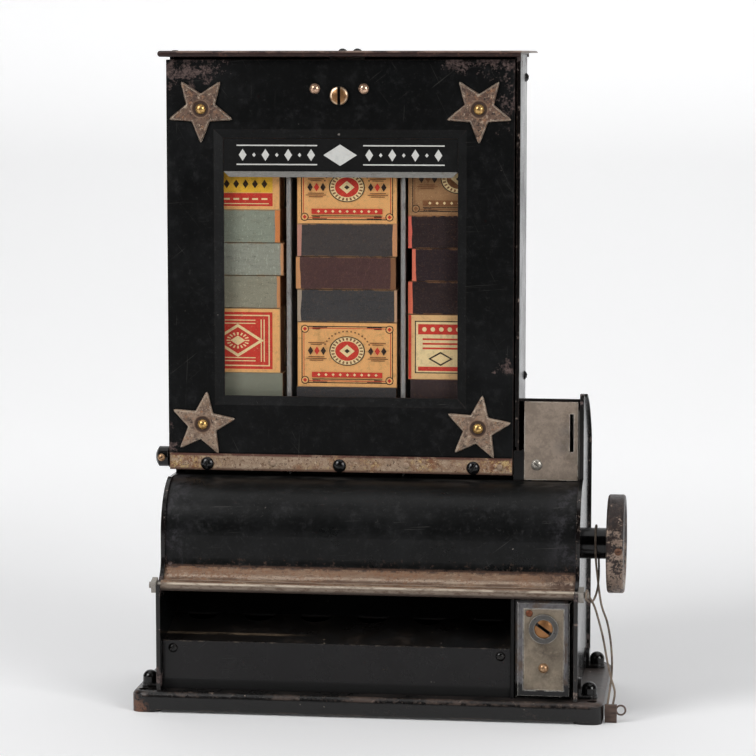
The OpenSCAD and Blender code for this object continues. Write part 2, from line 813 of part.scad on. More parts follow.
module back_panel() color("#1d1c1b") difference() {
    prism_y(back_y, body_back) {
        translate([-plate_in, base_h]) square([2 * plate_in, deck_z - sheet - base_h]);
        translate([case_x1 + EPS, base_h])
            square([plate_in - case_x1 - EPS, tower_under - base_h]);
    }
    for (p = back_screws) pin_y(back_y - 5, body_back + 5, p.x, p.y, shank_r + run_fit);
}

// Deck with an opening under each column
module deck_plate() color("#23221f") {
    z0 = deck_z - sheet;
    half = box_l / 2 + deck_room;
    difference() {
        slab(-plate_in, case_x1, door_y, body_back, z0, deck_z);
        for (x = columns) {
            slab(x - half, x + half, box_y - deck_front_room, box_y + box_w + slide_gap, z0 - 1, deck_z + 1);
        }
    }
}

// Magazine

case_screw_back = 9;
case_screw_z = [deck_z + 55.5, case_top - 13];
case_screws = [for (z = case_screw_z) [case_y1 - case_screw_back, z]];

module case_screw_bores() {
    for (p = case_screws) pin_x(case_x0 - 5, case_x1 + 5, p.x, p.y, shank_r + run_fit);
}

hinge_block = [6, 12, 17];
block_x = door_x1 + slide_gap;
block_y = door_y + door_rest;

module magazine_case() color("#191918") difference() {
    hem_z = rod_z + hinge_clear;
    union() {
        slab(case_x0, case_in0, case_y0, case_y1, deck_z, case_top);
        slab(case_in1, case_x1, case_y0, case_y1, deck_z, case_top);
        slab(case_x0, case_x1, case_y1 - sheet, case_y1, deck_z, case_top);
        slab(case_x0, case_x0 + case_hem, case_y0, case_y0 + case_hem_d, hem_z, case_top);
        slab(case_x1 - case_hem, case_x1, case_y0, case_y0 + case_hem_d, hem_z, case_top);
    }
    // Corner cut away for the swing of the door's foot
    slab(case_x0 - 1, case_in0 + 1, case_y0 - 1, box_y + divider_in, deck_z - 1, hem_z);
    slab(block_x - EPS, block_x + hinge_block.x, case_y0 - 1, block_y + hinge_block.y, deck_z - 1,
        deck_z + hinge_block.z);
    case_screw_bores();
}

lid_x0 = case_x0 - lid_over;
lid_x1 = case_x1 + lid_over;
lid_y0 = door_y - lid_front;
lid_y1 = case_y1 + lid_over;
lid_t = 1.6;
lid_lap = 0.9;
lid_worn = 0.6;
keeper_x = door_mid + 3;
keeper_half = 10;
keeper_d = 19;
keeper_up = 6;
lid_screw_back = 14;
lid_screw_span = 8.4;
lid_screws = [for (s = [-0.5, 0.5]) [door_mid + 4 + s * lid_screw_span, case_y0 + lid_screw_back]];

module lid() color("#3a2c26") {
    r = lid_bead / 2;
    z = case_top + lid_t - r * 0.8;
    difference() {
        union() {
            slab(lid_x0 + r, lid_x1 - r, lid_y0 + r, lid_y1 - r, case_top, case_top + lid_t);
            for (y = [lid_y0 + r, lid_y1 - r]) pin_x(lid_x0 + r, lid_x1 - r, y, z, r);
            for (x = [lid_x0 + r, lid_x1 - r]) {
                pin_y(lid_y0 + r, lid_y1 - r, x, z, r);
                for (y = [lid_y0 + r, lid_y1 - r]) translate([x, y, z]) sphere(r);
            }
        }
        // The right edge's bead is worn away below
        slab(case_x1 + lid_worn, lid_x1 + 1, lid_y0 - 1, lid_y1 + 1, case_top - lid_bead,
            case_top + lid_t - lid_lap);
        for (p = lid_screws) translate([p.x, p.y, case_top - 5]) cylinder(r = shank_r + run_fit, h = 20);
    }
}

// All black round-head screws of the fixed body
module body_screws() color("#2a2522") {
    for (p = tray_screws) facing_front(p.x, tray_y, p.y) screw(screw_r, screw_h, shank_r, 2 * sheet, 30);
    for (p = back_screws) facing_back(p.x, body_back, p.y) screw(screw_r, screw_h, shank_r, 3 * sheet, 20);
    for (p = case_screws) {
        facing_right(case_x1, p.x, p.y) screw(screw_r, screw_h, shank_r, 3 * sheet, 60);
        facing_left(case_x0, p.x, p.y) screw(screw_r, screw_h, shank_r, 3 * sheet, 10);
    }
    for (p = lid_screws) {
        translate([p.x, p.y, case_top + lid_t]) screw(screw_r, screw_h, shank_r, lid_t + sheet, 40);
    }
}

cam_y = door_y + lock_l;
cam_l = 15;

// Angle under the lid that the door's cam turns up behind
module lock_keeper() color("#6e675e") difference() {
    x0 = keeper_x - keeper_half;
    x1 = keeper_x + keeper_half;
    y1 = cam_y - cam_room;
    union() {
        slab(x0, x1, y1 - sheet, case_y0 + keeper_d, case_top - sheet, case_top);
        slab(x0, x1, y1 - sheet, y1, lock_z + keeper_up, case_top);
    }
    for (p = lid_screws) translate([p.x, p.y, case_top - 5]) cylinder(r = shank_r + run_fit, h = 10);
}

module column_dividers() color("#8d8b86") for (i = [0, 1]) {
    x = (columns[i] + columns[i + 1]) / 2;
    x0 = x - sheet / 2;
    y0 = box_y - divider_out;
    z0 = rod_z + hinge_clear;
    z1 = case_top - divider_down;
    slab(x0, x0 + sheet, box_y + divider_in, case_y1 - sheet, deck_z, z1);
    slab(x0, x0 + sheet, y0, box_y + divider_in + EPS, z0, z1);
    translate([x, y0, z0]) cylinder(d = divider_edge, h = z1 - z0);
}

box_gap = 0.1;

// A matchbox with its drawer's ends a little inside the sleeve, length along X
module matchbox(w, t) {
    recess = 0.7;
    difference() {
        translate([-box_l / 2, 0, 0]) cube([box_l, w, t - box_gap]);
        for (s = [-1, 1]) {
            translate([s * box_l / 2, w / 2, (t - box_gap) / 2])
                cube([2 * recess, w - 2 * box_card, t - box_gap - 2 * box_card], center = true);
        }
    }
}

// A column: flat boxes, one on its edge, flat boxes, one on its edge and a last flat one
module stack(x, edge_z, shift) {
    low_t = (edge_z - stack_z) / low_boxes;
    for (i = [0:low_boxes - 1]) translate([x, box_y, stack_z + i * low_t]) matchbox(box_w, low_t);
    translate([x + shift, box_y, edge_z]) matchbox(box_t, box_w);
    for (i = [0:2]) {
        translate([x + shift * (i % 2 == 0 ? 1 : -0.6), box_y, edge_z + box_w + i * box_t])
            matchbox(box_w, box_t);
    }
    translate([x + shift, box_y, edge_z + box_w + 3 * box_t]) matchbox(box_t, box_w);
    translate([x, box_y, edge_z + 2 * box_w + 3 * box_t]) matchbox(box_w, box_t);
}

edge_shift = [-1.2, 0.5, -1.4];
module left_matchboxes() color("#7f8b84") stack(columns[0], deck_z + edge_up[0], edge_shift[0]);
module middle_matchboxes() color("#c08a52") stack(columns[1], deck_z + edge_up[1], edge_shift[1]);
module right_matchboxes() color("#4a3230") stack(columns[2], deck_z + edge_up[2], edge_shift[2]);

// Coin tower

module coin_plate() color("#8f8778") difference() {
    slab(coin_x0, coin_x1, door_y, door_y + coin_t, coin_z, coin_z + coin_h);
    slab(slot_x - slot_w / 2, slot_x + slot_w / 2, door_y - 1, door_y + coin_t + 1, slot_z, slot_z + slot_h);
    pin_y(door_y - 1, door_y + 5, coin_screw.x, coin_screw.y, shank_r + run_fit);
}

module coin_plate_screw() color("#b7b2a6") facing_front(coin_screw.x, door_y, coin_screw.y)
    screw(3.2, 1.5, shank_r, coin_t + sheet, 135);

chute_w = 2.8;
chute_d = 21;
chute_wall = 1.4;
chute_low = 66;

// Coin channel behind the slot, with a lug for the plate's screw
module coin_chute() color("#8b8479") difference() {
    y0 = door_y + coin_t;
    union() {
        slab(slot_x - chute_w / 2 - chute_wall, plate_in, y0, y0 + chute_d + chute_wall, chute_low,
            slot_z + slot_h + 2);
        slab(case_x1, slot_x, y0, y0 + sheet, coin_z, coin_z + coin_lug_h);
    }
    slab(slot_x - chute_w / 2, slot_x + chute_w / 2, y0 - 1, y0 + chute_d, slot_z, slot_z + slot_h);
    slab(slot_x - chute_w / 2, slot_x + chute_w / 2, y0 + chute_wall, y0 + chute_d, chute_low - 1,
        slot_z + slot_h);
    pin_y(y0 - 1, y0 + 5, coin_screw.x, coin_screw.y, shank_r + run_fit);
    // Room for the right hinge block
    slab(block_x, block_x + hinge_block.x + slide_gap, block_y - 1, block_y + hinge_block.y + 1, deck_z - 1,
        deck_z + hinge_block.z + slide_gap);
}

module coin_cover() color("#1d1c1b") prism_x(case_x1, plate_in) {
    difference() {
        tower_outline(cover_in, plate_proud + coin_t, 0);
        tower_outline(cover_in + sheet, -1, -1);
    }
}

// Bushes of the drum shaft and the drive shaft, and the collar on the right plate
module bush(x0, x1, y, z, shaft_d, wall, flange_x0, flange_x1, flange_r) {
    difference() {
        union() {
            pin_x(x0, x1, y, z, shaft_d / 2 + wall);
            pin_x(flange_x0, flange_x1, y, z, flange_r);
        }
        pin_x(x0 - 20, x1 + 20, y, z, shaft_d / 2 + run_fit);
    }
}

module bearing_bushes() color("#8c7a4a") {
    drum_flange = drum_shaft_d / 2 + bush_flange;
    drive_flange = drive_d / 2 + bush_flange;
    wall_x = inner_x1 + bush_flange_t;
    bush(-plate_out, -plate_in, drum_y, drum_z, drum_shaft_d, bush_wall,
        -plate_out - bush_flange_t, -plate_out, drum_flange);
    bush(inner_x0, inner_x1, drum_y, drum_z, drum_shaft_d, bush_wall, inner_x1, wall_x, drum_flange);
    bush(inner_x0, inner_x1, drive_y, drive_z, drive_d, bush_wall, inner_x1, wall_x, drive_flange);
    bush(plate_in, plate_out, drive_y, drive_z, drive_d, knob_bush_wall, plate_out, hub_x, hub_d / 2);
}

// Hinge

collar_x1 = door_x0 - slide_gap;
collar_dome = 2.2;
rod_x0 = collar_x1 - collar_l + 1.5;
rod_x1 = block_x + hinge_block.x - 1;
strap_t = 1.6;
strap_half = 4;
strap_foot = 10;
strap_foot_in = 4;
set_in = 3.6;

module hinge_rod() color("#4b443d")
    pin_x(rod_x0, rod_x1, rod_y, rod_z, rod_d / 2);

// Collar with a strap back to the magazine's wall on the left, a block on the deck on the right
module hinge_bearings() color("#262120") {
    cap_x = collar_x1 - collar_l + collar_dome;
    strap_x = collar_x1 - strap_t;
    foot_y = box_y + strap_foot_in;
    strap_y = foot_y + strap_foot;
    difference() {
        union() {
            pin_x(cap_x, collar_x1, rod_y, rod_z, collar_d / 2);
            facing_left(cap_x, rod_y, rod_z) cap(collar_d / 2, collar_dome);
            slab(strap_x, collar_x1, rod_y, strap_y, rod_z - strap_half, rod_z + strap_half);
            slab(collar_x1 - EPS, case_x0, foot_y, strap_y, rod_z - strap_half, rod_z + strap_half);
            facing_left(strap_x + EPS, (foot_y + strap_y) / 2, rod_z) cap(screw_r, screw_h);
        }
        pin_x(rod_x0, 0, rod_y, rod_z, rod_d / 2 + run_fit);
        set_screw_bore();
    }
    difference() {
        translate([block_x, block_y, deck_z]) cube(hinge_block);
        pin_x(block_x - 1, rod_x1, rod_y, rod_z, rod_d / 2 + run_fit);
    }
}

set_x = collar_x1 - set_in;
set_r = 1.2;
module set_screw_bore() { pin_y(rod_y - collar_d, rod_y, set_x, rod_z, set_r + run_fit); }

module hinge_set_screw() color("#a8833f") {
    seat = rod_y - collar_d / 2;
    facing_front(set_x, seat, rod_z)
        screw(2.2, 1.4, set_r, collar_d / 2 - rod_d / 2 - run_fit, 25, 0.6);
}

// Door

// The window's opening drawn out by one amount at the front and another at the back
module window_taper(front_out, back_out, y0, y1) {
    taper_y(door_mid, window_z + window_h / 2, [window_w + 2 * front_out, window_h + 2 * front_out],
        [window_w + 2 * back_out, window_h + 2 * back_out], y0, y1);
}

// Folded sheet with the window's pressed bevel and an ear on each fold for the hinge rod
module door_panel() color("#141515") difference() {
    z0 = door_z + panel_up;
    z1 = door_z + door_h;
    union() {
        slab(door_x0, door_x1, door_y, door_y + door_t, z0, z1);
        for (x = [door_x0, door_x1 - door_t]) {
            slab(x, x + door_t, door_y, door_y + door_fold, z0, z1);
            pin_x(x, x + door_t, rod_y, rod_z, ear_r);
        }
        slab(case_x0 + case_hem + door_side, door_x1, door_y, door_y + door_fold, z1 - door_t, z1);
        window_taper(bevel_w + door_t, door_t, door_y, glass_y);
    }
    window_taper(bevel_w, 0, door_y, door_y + bevel_d);
    slab(door_mid - window_w / 2, door_mid + window_w / 2, door_y - 1, glass_y + 1,
        window_z, window_z + window_h);
    pin_x(door_x0 - 1, door_x1 + 1, rod_y, rod_z, rod_d / 2 + run_fit);
    pin_y(door_y - 1, door_y + 2, door_mid, lock_z, lock_body_r + run_fit);
    for (p = star_places) pin_y(door_y - 1, door_y + 2, p.x, p.y, rivet_shank + run_fit);
    for (p = lock_rivets) pin_y(door_y - 1, door_y + 2, p.x, p.y, rivet_shank + run_fit);
    for (x = rail_screws_x) pin_y(door_y - 1, door_y + 2, x, rail_screw_z, shank_r + run_fit);
}

glass_lap = 3;
module door_glass() color([0.8, 0.85, 0.85, 0.3])
    slab(door_mid - window_w / 2 - glass_lap, door_mid + window_w / 2 + glass_lap, glass_y, glass_y + glass_t,
        window_z - glass_lap, window_z + window_h + glass_lap);

sign_t = 0.8;
module sign_plate() color("#1b1b1b")
    slab(door_mid - window_w / 2 + 0.1, door_mid + window_w / 2 - 0.1, glass_y - sign_t, glass_y,
        window_z + window_h - sign_h, window_z + window_h - 0.1);

// Bar with mitred ends under the sign
module sign_bar() color("#6f6d69") {
    z1 = window_z + window_h - sign_h;
    half = window_w / 2 - 0.1;
    prism_y(glass_y - sign_t - 0.5, glass_y) polygon([
        [door_mid - half, z1], [door_mid + half, z1],
        [door_mid + half - bar_h, z1 - bar_h], [door_mid - half + bar_h, z1 - bar_h]]);
}

// Folded clips soldered behind the panel, round the edge of the glass
module glass_clips() color("#6b655d") {
    clip_l = 16;
    foot_l = 7;
    riser = bevel_w + door_t + slide_gap;
    y0 = door_y + door_t;
    y1 = glass_y + glass_t;
    for (s = [-1, 1], up = [-1, 1]) {
        translate([door_mid, 0, window_z + window_h / 2 + up * window_h / 3 - clip_l / 2])
            mirror([s < 0 ? 1 : 0, 0, 0]) translate([window_w / 2, 0, 0]) linear_extrude(clip_l) {
                translate([riser, y0]) square([foot_l, sheet]);
                translate([riser, y0]) square([sheet, y1 + sheet - y0]);
                translate([0.5, y1]) square([riser + sheet - 0.5, sheet]);
            }
    }
}

// Five-pointed star with blunt tips
function star_points(r) = let (inner = r * 0.46, blunt = 1) [for (i = [0:4]) each let (a = 90 + i * 72) [
    [(r - blunt) * cos(a - 2.6), (r - blunt) * sin(a - 2.6)],
    [r * cos(a), r * sin(a)],
    [(r - blunt) * cos(a + 2.6), (r - blunt) * sin(a + 2.6)],
    [inner * cos(a + 36), inner * sin(a + 36)]]];

module door_stars() color("#7c6c5c") for (p = star_places) {
    facing_front(p.x, door_y, p.y) rotate(p.z) difference() {
        union() {
            linear_extrude(star_t + EPS) polygon(star_points(star_r));
            translate([0, 0, star_t]) linear_extrude(star_bevel, scale = 0.92) polygon(star_points(star_r));
        }
        translate([0, 0, star_seat]) cylinder(r = star_seat_r, h = 2);
        translate([0, 0, -1]) cylinder(r = rivet_shank + run_fit, h = 6);
    }
}

module door_rivets() color("#b8923f") {
    for (p = star_places) facing_front(p.x, door_y - star_seat, p.y) {
        cap(rivet_r, rivet_h);
        translate([0, 0, -star_seat - door_t]) cylinder(r = rivet_shank, h = star_seat + door_t + EPS);
    }
    for (p = lock_rivets) facing_front(p.x, door_y, p.y) {
        cap(rivet_r, rivet_h);
        translate([0, 0, -door_t]) cylinder(r = rivet_shank, h = door_t + EPS);
    }
}

module door_rail() color("#8c7058") difference() {
    rail_dimples = [for (i = [-0.5, 0.5, 1.165]) door_mid + i * rail_pitch];
    union() {
        slab(door_x0 + 0.8, door_x1 - 0.4, door_y - rail_t, door_y, door_z, door_z + rail_h);
        for (x = rail_dimples) facing_front(x, door_y - rail_t + EPS, door_z + 4.8) cap(1.5, 0.6);
    }
    for (x = rail_screws_x) pin_y(door_y - rail_t - 1, door_y + 1, x, rail_screw_z, shank_r + run_fit);
}

module rail_screws() color("#24211f") for (x = rail_screws_x) {
    facing_front(x, door_y - rail_t, rail_screw_z)
        screw(rail_screw_r, rail_screw_h, shank_r, rail_t + door_t, x, 0.9);
}

lock_out = 1.6;
lock_floor = 0.4;
door_key = [1.7, 2.4, lock_d - 1];
cash_key = [1.4, 5, cash_plug_d * 0.72];

// Barrel with a notch in its flange in line with the plug's slot
module lock_barrel() color("#a98a4c") difference() {
    union() {
        pin_y(door_y - lock_out, door_y, door_mid, lock_z, lock_d / 2);
        pin_y(door_y - EPS, cam_y - slide_gap, door_mid, lock_z, lock_body_r);
    }
    pin_y(door_y - lock_out - 1, cam_y + 1, door_mid, lock_z, lock_plug_d / 2 + run_fit);
    slab(door_mid - door_key.x / 2, door_mid + door_key.x / 2, door_y - lock_out - 1, door_y - lock_floor,
        lock_z - door_key.z / 2, lock_z + door_key.z / 2);
}

// Turning plug with a key slot [width, depth, length]; its cam lies level when unlocked
module lock_plug(x, z, y0, y1, d, cam_len, key, key_turn) {
    difference() {
        pin_y(y0, y1 + cam_t, x, z, d / 2);
        translate([x, y0, z]) rotate([0, key_turn, 0]) translate([-key.x / 2, -1, -key.z / 2])
            cube([key.x, key.y + 1, key.z]);
    }
    slab(x - cam_len, x, y1, y1 + cam_t, z - cam_half, z + cam_half);
}

module door_lock_plug() color("#c2a056")
    lock_plug(door_mid, lock_z, door_y - lock_out - 0.3, cam_y, lock_plug_d, cam_l, door_key, 0);

// Drum, gears and knob

// Three turned drums, each with one pocket as large as a flat matchbox
module vend_drum() color("#1a1918") for (i = [0:2]) difference() {
    x0 = columns[i] - drum_l / 2;
    pin_x(x0, x0 + drum_l, drum_y, drum_z, drum_r);
    pin_x(x0 - 1, x0 + drum_l + 1, drum_y, drum_z, drum_shaft_d / 2);
    translate([columns[i], drum_y, drum_z]) rotate([pocket_turn[i] - 90, 0, 0])
        translate([-box_l / 2 - pocket_gap, -pocket_half, pocket_top - pocket_d])
            cube([box_l + 2 * pocket_gap, 2 * pocket_half, drum_r]);
}

module drum_shaft() color("#77726a")
    pin_x(-plate_out - shaft_end, gear_x + gear_w + shaft_end, drum_y, drum_z, drum_shaft_d / 2);

function involute(a) = tan(a) * 180 / PI - a;

// Half of a tooth's angle at radius r
function tooth_half(n, r, pitch_r, base_r) =
    90 / n - gear_thin / 2 / pitch_r * 180 / PI + involute(gear_pa) - involute(acos(min(1, base_r / r)));

function polar(r, a) = r * [cos(a), sin(a)];

// One tooth's outline about the angle c: root, rising flank, falling flank, root
function tooth_points(n, c, pitch_r, round_r) =
    let (tip_r = pitch_r + gear_m, root_r = pitch_r - 1.25 * gear_m, low_r = max(round_r, root_r), steps = 4,
         radii = [for (k = [0:steps]) low_r + EPS + (tip_r - low_r - EPS) * k / steps],
         halves = [for (r = radii) tooth_half(n, r, pitch_r, round_r)])
    concat([polar(root_r, c - halves[0])],
        [for (k = [0:steps]) polar(radii[k], c - halves[k])],
        [for (k = [steps:-1:0]) polar(radii[k], c + halves[k])],
        [polar(root_r, c + halves[0])]);

function gear_points(n) = [for (i = [0:n - 1])
    each tooth_points(n, i * 360 / n, gear_m * n / 2, gear_m * n / 2 * cos(gear_pa))];

module gear(n, turn, y, z, bore_d) {
    difference() {
        translate([0, y, z]) prism_x(gear_x, gear_x + gear_w) rotate(turn) polygon(gear_points(n));
        pin_x(gear_x - 1, gear_x + gear_w + 1, y, z, bore_d / 2);
        if (n > 20) for (i = [0:5]) {
            translate([0, y, z]) rotate([i * 60 + mesh_turn, 0, 0])
                pin_x(gear_x - 1, gear_x + gear_w + 1, gear_m * n * 0.3, 0, gear_m * n * 0.1);
        }
    }
}

module drum_gear() color("#9a8f79") gear(gear_n, mesh_turn, drum_y, drum_z, drum_shaft_d);
module drive_pinion() color("#a59a83")
    gear(pinion_n, mesh_turn + 180 + 180 / pinion_n, drive_y, drive_z, drive_d);

module drive_shaft() color("#77726a")
    pin_x(inner_x0 - shaft_end + 1, knob_x + knob_w - knob_dish - 0.4, drive_y, drive_z, drive_d / 2);

// Saw-toothed wheel that lets the knob turn one way
module ratchet_wheel() color("#857d70") difference() {
    translate([0, drive_y, drive_z]) prism_x(ratchet_x, ratchet_x + ratchet_w)
        rotate(pawl_at) polygon([for (i = [0:ratchet_n - 1]) each let (a = i * 360 / ratchet_n) [
            ratchet_r * [cos(a - 4), sin(a - 4)],
            (ratchet_r - ratchet_depth) * [cos(a - 2), sin(a - 2)]]]);
    pin_x(ratchet_x - 1, ratchet_x + ratchet_w + 1, drive_y, drive_z, drive_d / 2);
}

// Pawl drawn at the top of its lift, its tip just over the wheel
module ratchet_pawl() color("#8b8274") difference() {
    along = (pawl_tip - pawl_pivot) / pawl_l;
    across = [-along.y, along.x];
    union() {
        pin_x(ratchet_x, ratchet_x + ratchet_w, pawl_pivot.x, pawl_pivot.y, pawl_eye_r);
        prism_x(ratchet_x, ratchet_x + ratchet_w) polygon([pawl_pivot + pawl_half * (along + across),
            pawl_tip + 0.85 * pawl_half * across, pawl_tip, pawl_pivot + pawl_half * (along - across)]);
    }
    pin_x(ratchet_x - 1, ratchet_x + ratchet_w + 1, pawl_pivot.x, pawl_pivot.y, stud_r + run_fit);
}

// Leaf spring from its post to the pawl's back
module pawl_spring() color("#9b9488") {
    along = (pawl_tip - pawl_pivot) / pawl_l;
    across = [-along.y, along.x];
    foot = pawl_tip - 3.5 * along + (pawl_half + slide_gap) * across;
    x0 = ratchet_x + spring_in;
    x1 = ratchet_x + ratchet_w - spring_in;
    way = (spring_post - foot) / norm(spring_post - foot);
    side = [-way.y, way.x];
    difference() {
        union() {
            pin_x(x0, x1, spring_post.x, spring_post.y, stud_r + 0.9);
            prism_x(x0, x1) polygon([foot, foot + spring_t * side,
                spring_post + spring_t * side - 2 * way, spring_post - 2 * way]);
        }
        pin_x(ratchet_x, ratchet_x + ratchet_w, spring_post.x, spring_post.y, stud_r + run_fit);
    }
}

module knob() color("#4a3a32") {
    r = knob_d / 2;
    soft = knob_soft;
    lip = r - knob_rim;
    difference() {
        facing_right(knob_x, drive_y, drive_z) rotate_extrude($fn = 96) difference() {
            union() {
                square([r - soft, knob_w]);
                translate([0, soft]) square([r, knob_w - 2 * soft]);
                for (z = [soft, knob_w - soft]) translate([r - soft, z]) circle(soft);
            }
            // Dished outer face and the shaft's bore
            polygon([[0, knob_w + 1], [0, knob_w - knob_dish], [lip - 2, knob_w - 0.75 * knob_dish],
                [lip, knob_w + EPS], [lip, knob_w + 1]]);
            translate([0, -1]) square([drive_d / 2, knob_w + 2]);
        }
        pin_y(drive_y - r - 1, drive_y - r + 3, knob_x + knob_w - knob_screw_in, drive_z,
            knob_screw_r + run_fit);
    }
}

module knob_hub() color("#161514") difference() {
    pin_x(hub_x + slide_gap, knob_x, drive_y, drive_z, hub_d / 2);
    pin_x(hub_x - 1, knob_x + 1, drive_y, drive_z, drive_d / 2);
}

// Small screw in the front of the rim
module knob_screw() color("#6d6257")
    facing_front(knob_x + knob_w - knob_screw_in, drive_y - knob_d / 2, drive_z)
        screw(2.1, 0.9, knob_screw_r, knob_screw_l, 15, 0.6);

// Cash drawer

module cash_drawer() color("#5d5850") difference() {
    y0 = cash_y + cash_t;
    slab(cash_x0, cash_x1, y0, y0 + cash_d, cash_z, cash_z + cash_box_h);
    slab(cash_x0 + sheet, cash_x1 - sheet, y0 + sheet, y0 + cash_d - sheet,
        cash_z + sheet, cash_z + cash_box_h + 1);
    pin_y(y0 - 1, y0 + 5, cash_mid, cash_lock_z, cash_ring_d / 2 - cash_ring_wall);
    pin_y(y0 - 1, y0 + 5, cash_mid, base_h + cash_pull_up, rivet_shank + run_fit);
}

// Front with a bevelled raised frame round the nickel plate
module cash_front() color("#8a857b") {
    w = cash_x1 - cash_x0;
    difference() {
        union() {
            slab(cash_x0, cash_x1, cash_y + cash_bevel, cash_y + cash_t, cash_z, cash_z + cash_h);
            taper_y(cash_mid, cash_z + cash_h / 2, [w - 2 * cash_bevel, cash_h - 2 * cash_bevel],
                [w, cash_h], cash_y, cash_y + cash_bevel + EPS);
        }
        slab(cash_x0 + cash_frame, cash_x1 - cash_frame, cash_y - 1, cash_face_y + cash_plate_t,
            cash_z + cash_frame, cash_z + cash_h - cash_frame);
        pin_y(cash_y - 1, cash_y + 5, cash_mid, cash_lock_z, cash_ring_d / 2 - cash_ring_wall);
        pin_y(cash_y - 1, cash_y + 5, cash_mid, base_h + cash_pull_up, rivet_shank + run_fit);
    }
}

module cash_plate() color("#9c9078") {
    g = cash_plate_gap;
    y0 = cash_face_y;
    difference() {
        slab(cash_x0 + cash_frame + g, cash_x1 - cash_frame - g, y0, y0 + cash_plate_t,
            cash_z + cash_frame + g, cash_z + cash_h - cash_frame - g);
        pin_y(y0 - 1, y0 + 5, cash_mid, cash_lock_z, cash_ring_d / 2 - cash_ring_wall);
        pin_y(y0 - 1, y0 + 5, cash_mid, base_h + cash_pull_up, rivet_shank + run_fit);
    }
}

ring_out = 1.4;
module cash_lock_ring() color("#a39a86") difference() {
    y0 = cash_face_y;
    union() {
        pin_y(y0 - ring_out, y0, cash_mid, cash_lock_z, cash_ring_d / 2);
        pin_y(y0 - EPS, y0 + cash_lock_l, cash_mid, cash_lock_z, cash_ring_d / 2 - cash_ring_wall - run_fit);
    }
    pin_y(y0 - 5, y0 + cash_lock_l + 1, cash_mid, cash_lock_z, cash_plug_d / 2 + run_fit);
}

module cash_lock_plug() color("#b08a3e")
    lock_plug(cash_mid, cash_lock_z, cash_face_y - ring_out + 0.3, cash_cam_y, cash_plug_d, cash_cam_l,
        cash_key, -55);

module cash_pull() color("#b8923f") facing_front(cash_mid, cash_face_y, base_h + cash_pull_up) {
    cap(2.8, 2.2);
    translate([0, 0, -cash_t - sheet]) cylinder(r = rivet_shank, h = cash_t + sheet + EPS);
}

// String and tag

function unit(v) = v / norm(v);
function route_way(p, i) = unit(p[min(i + 1, len(p) - 1)] - p[max(i - 1, 0)]);

// A tube with one ring of points for each point of the route
module tube(route, d, sides) {
    last = len(route) - 1;
    turn = 360 / sides;
    rings = [for (i = [0:last])
        let (t = route_way(route, i), u = unit(cross(t, [1, 0.2, 0.1])), v = cross(t, u))
        each [for (k = [0:sides - 1]) route[i] + d / 2 * (u * cos(k * turn) + v * sin(k * turn))]];
    walls = [for (i = [0:last - 1], k = [0:sides - 1]) let (n = (k + 1) % sides, b = i * sides)
        each [[b + sides + n, b + n, b + k], [b + sides + k, b + sides + n, b + k]]];
    ends = [[for (k = [0:sides - 1]) k], [for (k = [sides - 1:-1:0]) last * sides + k]];
    polyhedron(rings, concat(walls, ends));
}

module string() color("#c9c2b4") translate(string_at) tube(string_route, string_d, 8);

// Wooden tag that stands on the counter, with a wire eye on its right
module tag() color("#6b4a33") {
    eye_at = [tag_size.x + tag_eye_r - 0.4 * tag_wire_d, tag_size.y / 2, tag_size.z * 0.7];
    translate(string_at + tag_at) {
        cube(tag_size);
        translate(eye_at) rotate([90, 0, 0]) rotate_extrude()
            translate([tag_eye_r, 0]) circle(d = tag_wire_d, $fn = 16);
    }
}

base_plate();
left_side_plate();
right_side_plate();
inner_wall();
corner_lugs();
drum_cover();
delivery_lip();
tie_rod();
delivery_floor();
drum_apron();
tray_front();
back_panel();
deck_plate();
magazine_case();
lid();
body_screws();
lock_keeper();
column_dividers();
left_matchboxes();
middle_matchboxes();
right_matchboxes();
coin_plate();
coin_plate_screw();
coin_chute();
coin_cover();
bearing_bushes();
hinge_rod();
hinge_bearings();
hinge_set_screw();
pawl_spring();
door_panel();
door_glass();
sign_plate();
sign_bar();
glass_clips();
door_stars();
door_rivets();
door_rail();
rail_screws();
lock_barrel();
door_lock_plug();
vend_drum();
drum_shaft();
drum_gear();
knob();
knob_hub();
knob_screw();
drive_shaft();
drive_pinion();
ratchet_wheel();
ratchet_pawl();
cash_drawer();
cash_front();
cash_plate();
cash_lock_ring();
cash_pull();
cash_lock_plug();
string();
tag();
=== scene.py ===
"""Looks of the match vending machine: camera, string, materials, labels, wear and studio light."""
from functools import reduce
from math import cos, pi, radians, sin

import bpy
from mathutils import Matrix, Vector


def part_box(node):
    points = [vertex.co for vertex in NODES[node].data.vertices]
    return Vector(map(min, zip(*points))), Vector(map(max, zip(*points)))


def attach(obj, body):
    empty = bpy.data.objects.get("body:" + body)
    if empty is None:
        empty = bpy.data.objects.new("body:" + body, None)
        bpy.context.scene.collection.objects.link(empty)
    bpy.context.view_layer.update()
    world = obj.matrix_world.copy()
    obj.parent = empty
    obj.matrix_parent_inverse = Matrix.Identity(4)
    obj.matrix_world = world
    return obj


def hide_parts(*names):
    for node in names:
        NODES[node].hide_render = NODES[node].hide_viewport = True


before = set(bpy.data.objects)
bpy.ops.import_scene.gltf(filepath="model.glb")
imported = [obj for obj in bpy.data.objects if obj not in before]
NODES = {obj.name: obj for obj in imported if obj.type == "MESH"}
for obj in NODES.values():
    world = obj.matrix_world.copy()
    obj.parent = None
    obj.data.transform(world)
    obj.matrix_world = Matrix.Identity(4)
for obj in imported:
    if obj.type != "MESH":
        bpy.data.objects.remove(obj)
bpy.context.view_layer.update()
MM = 0.001

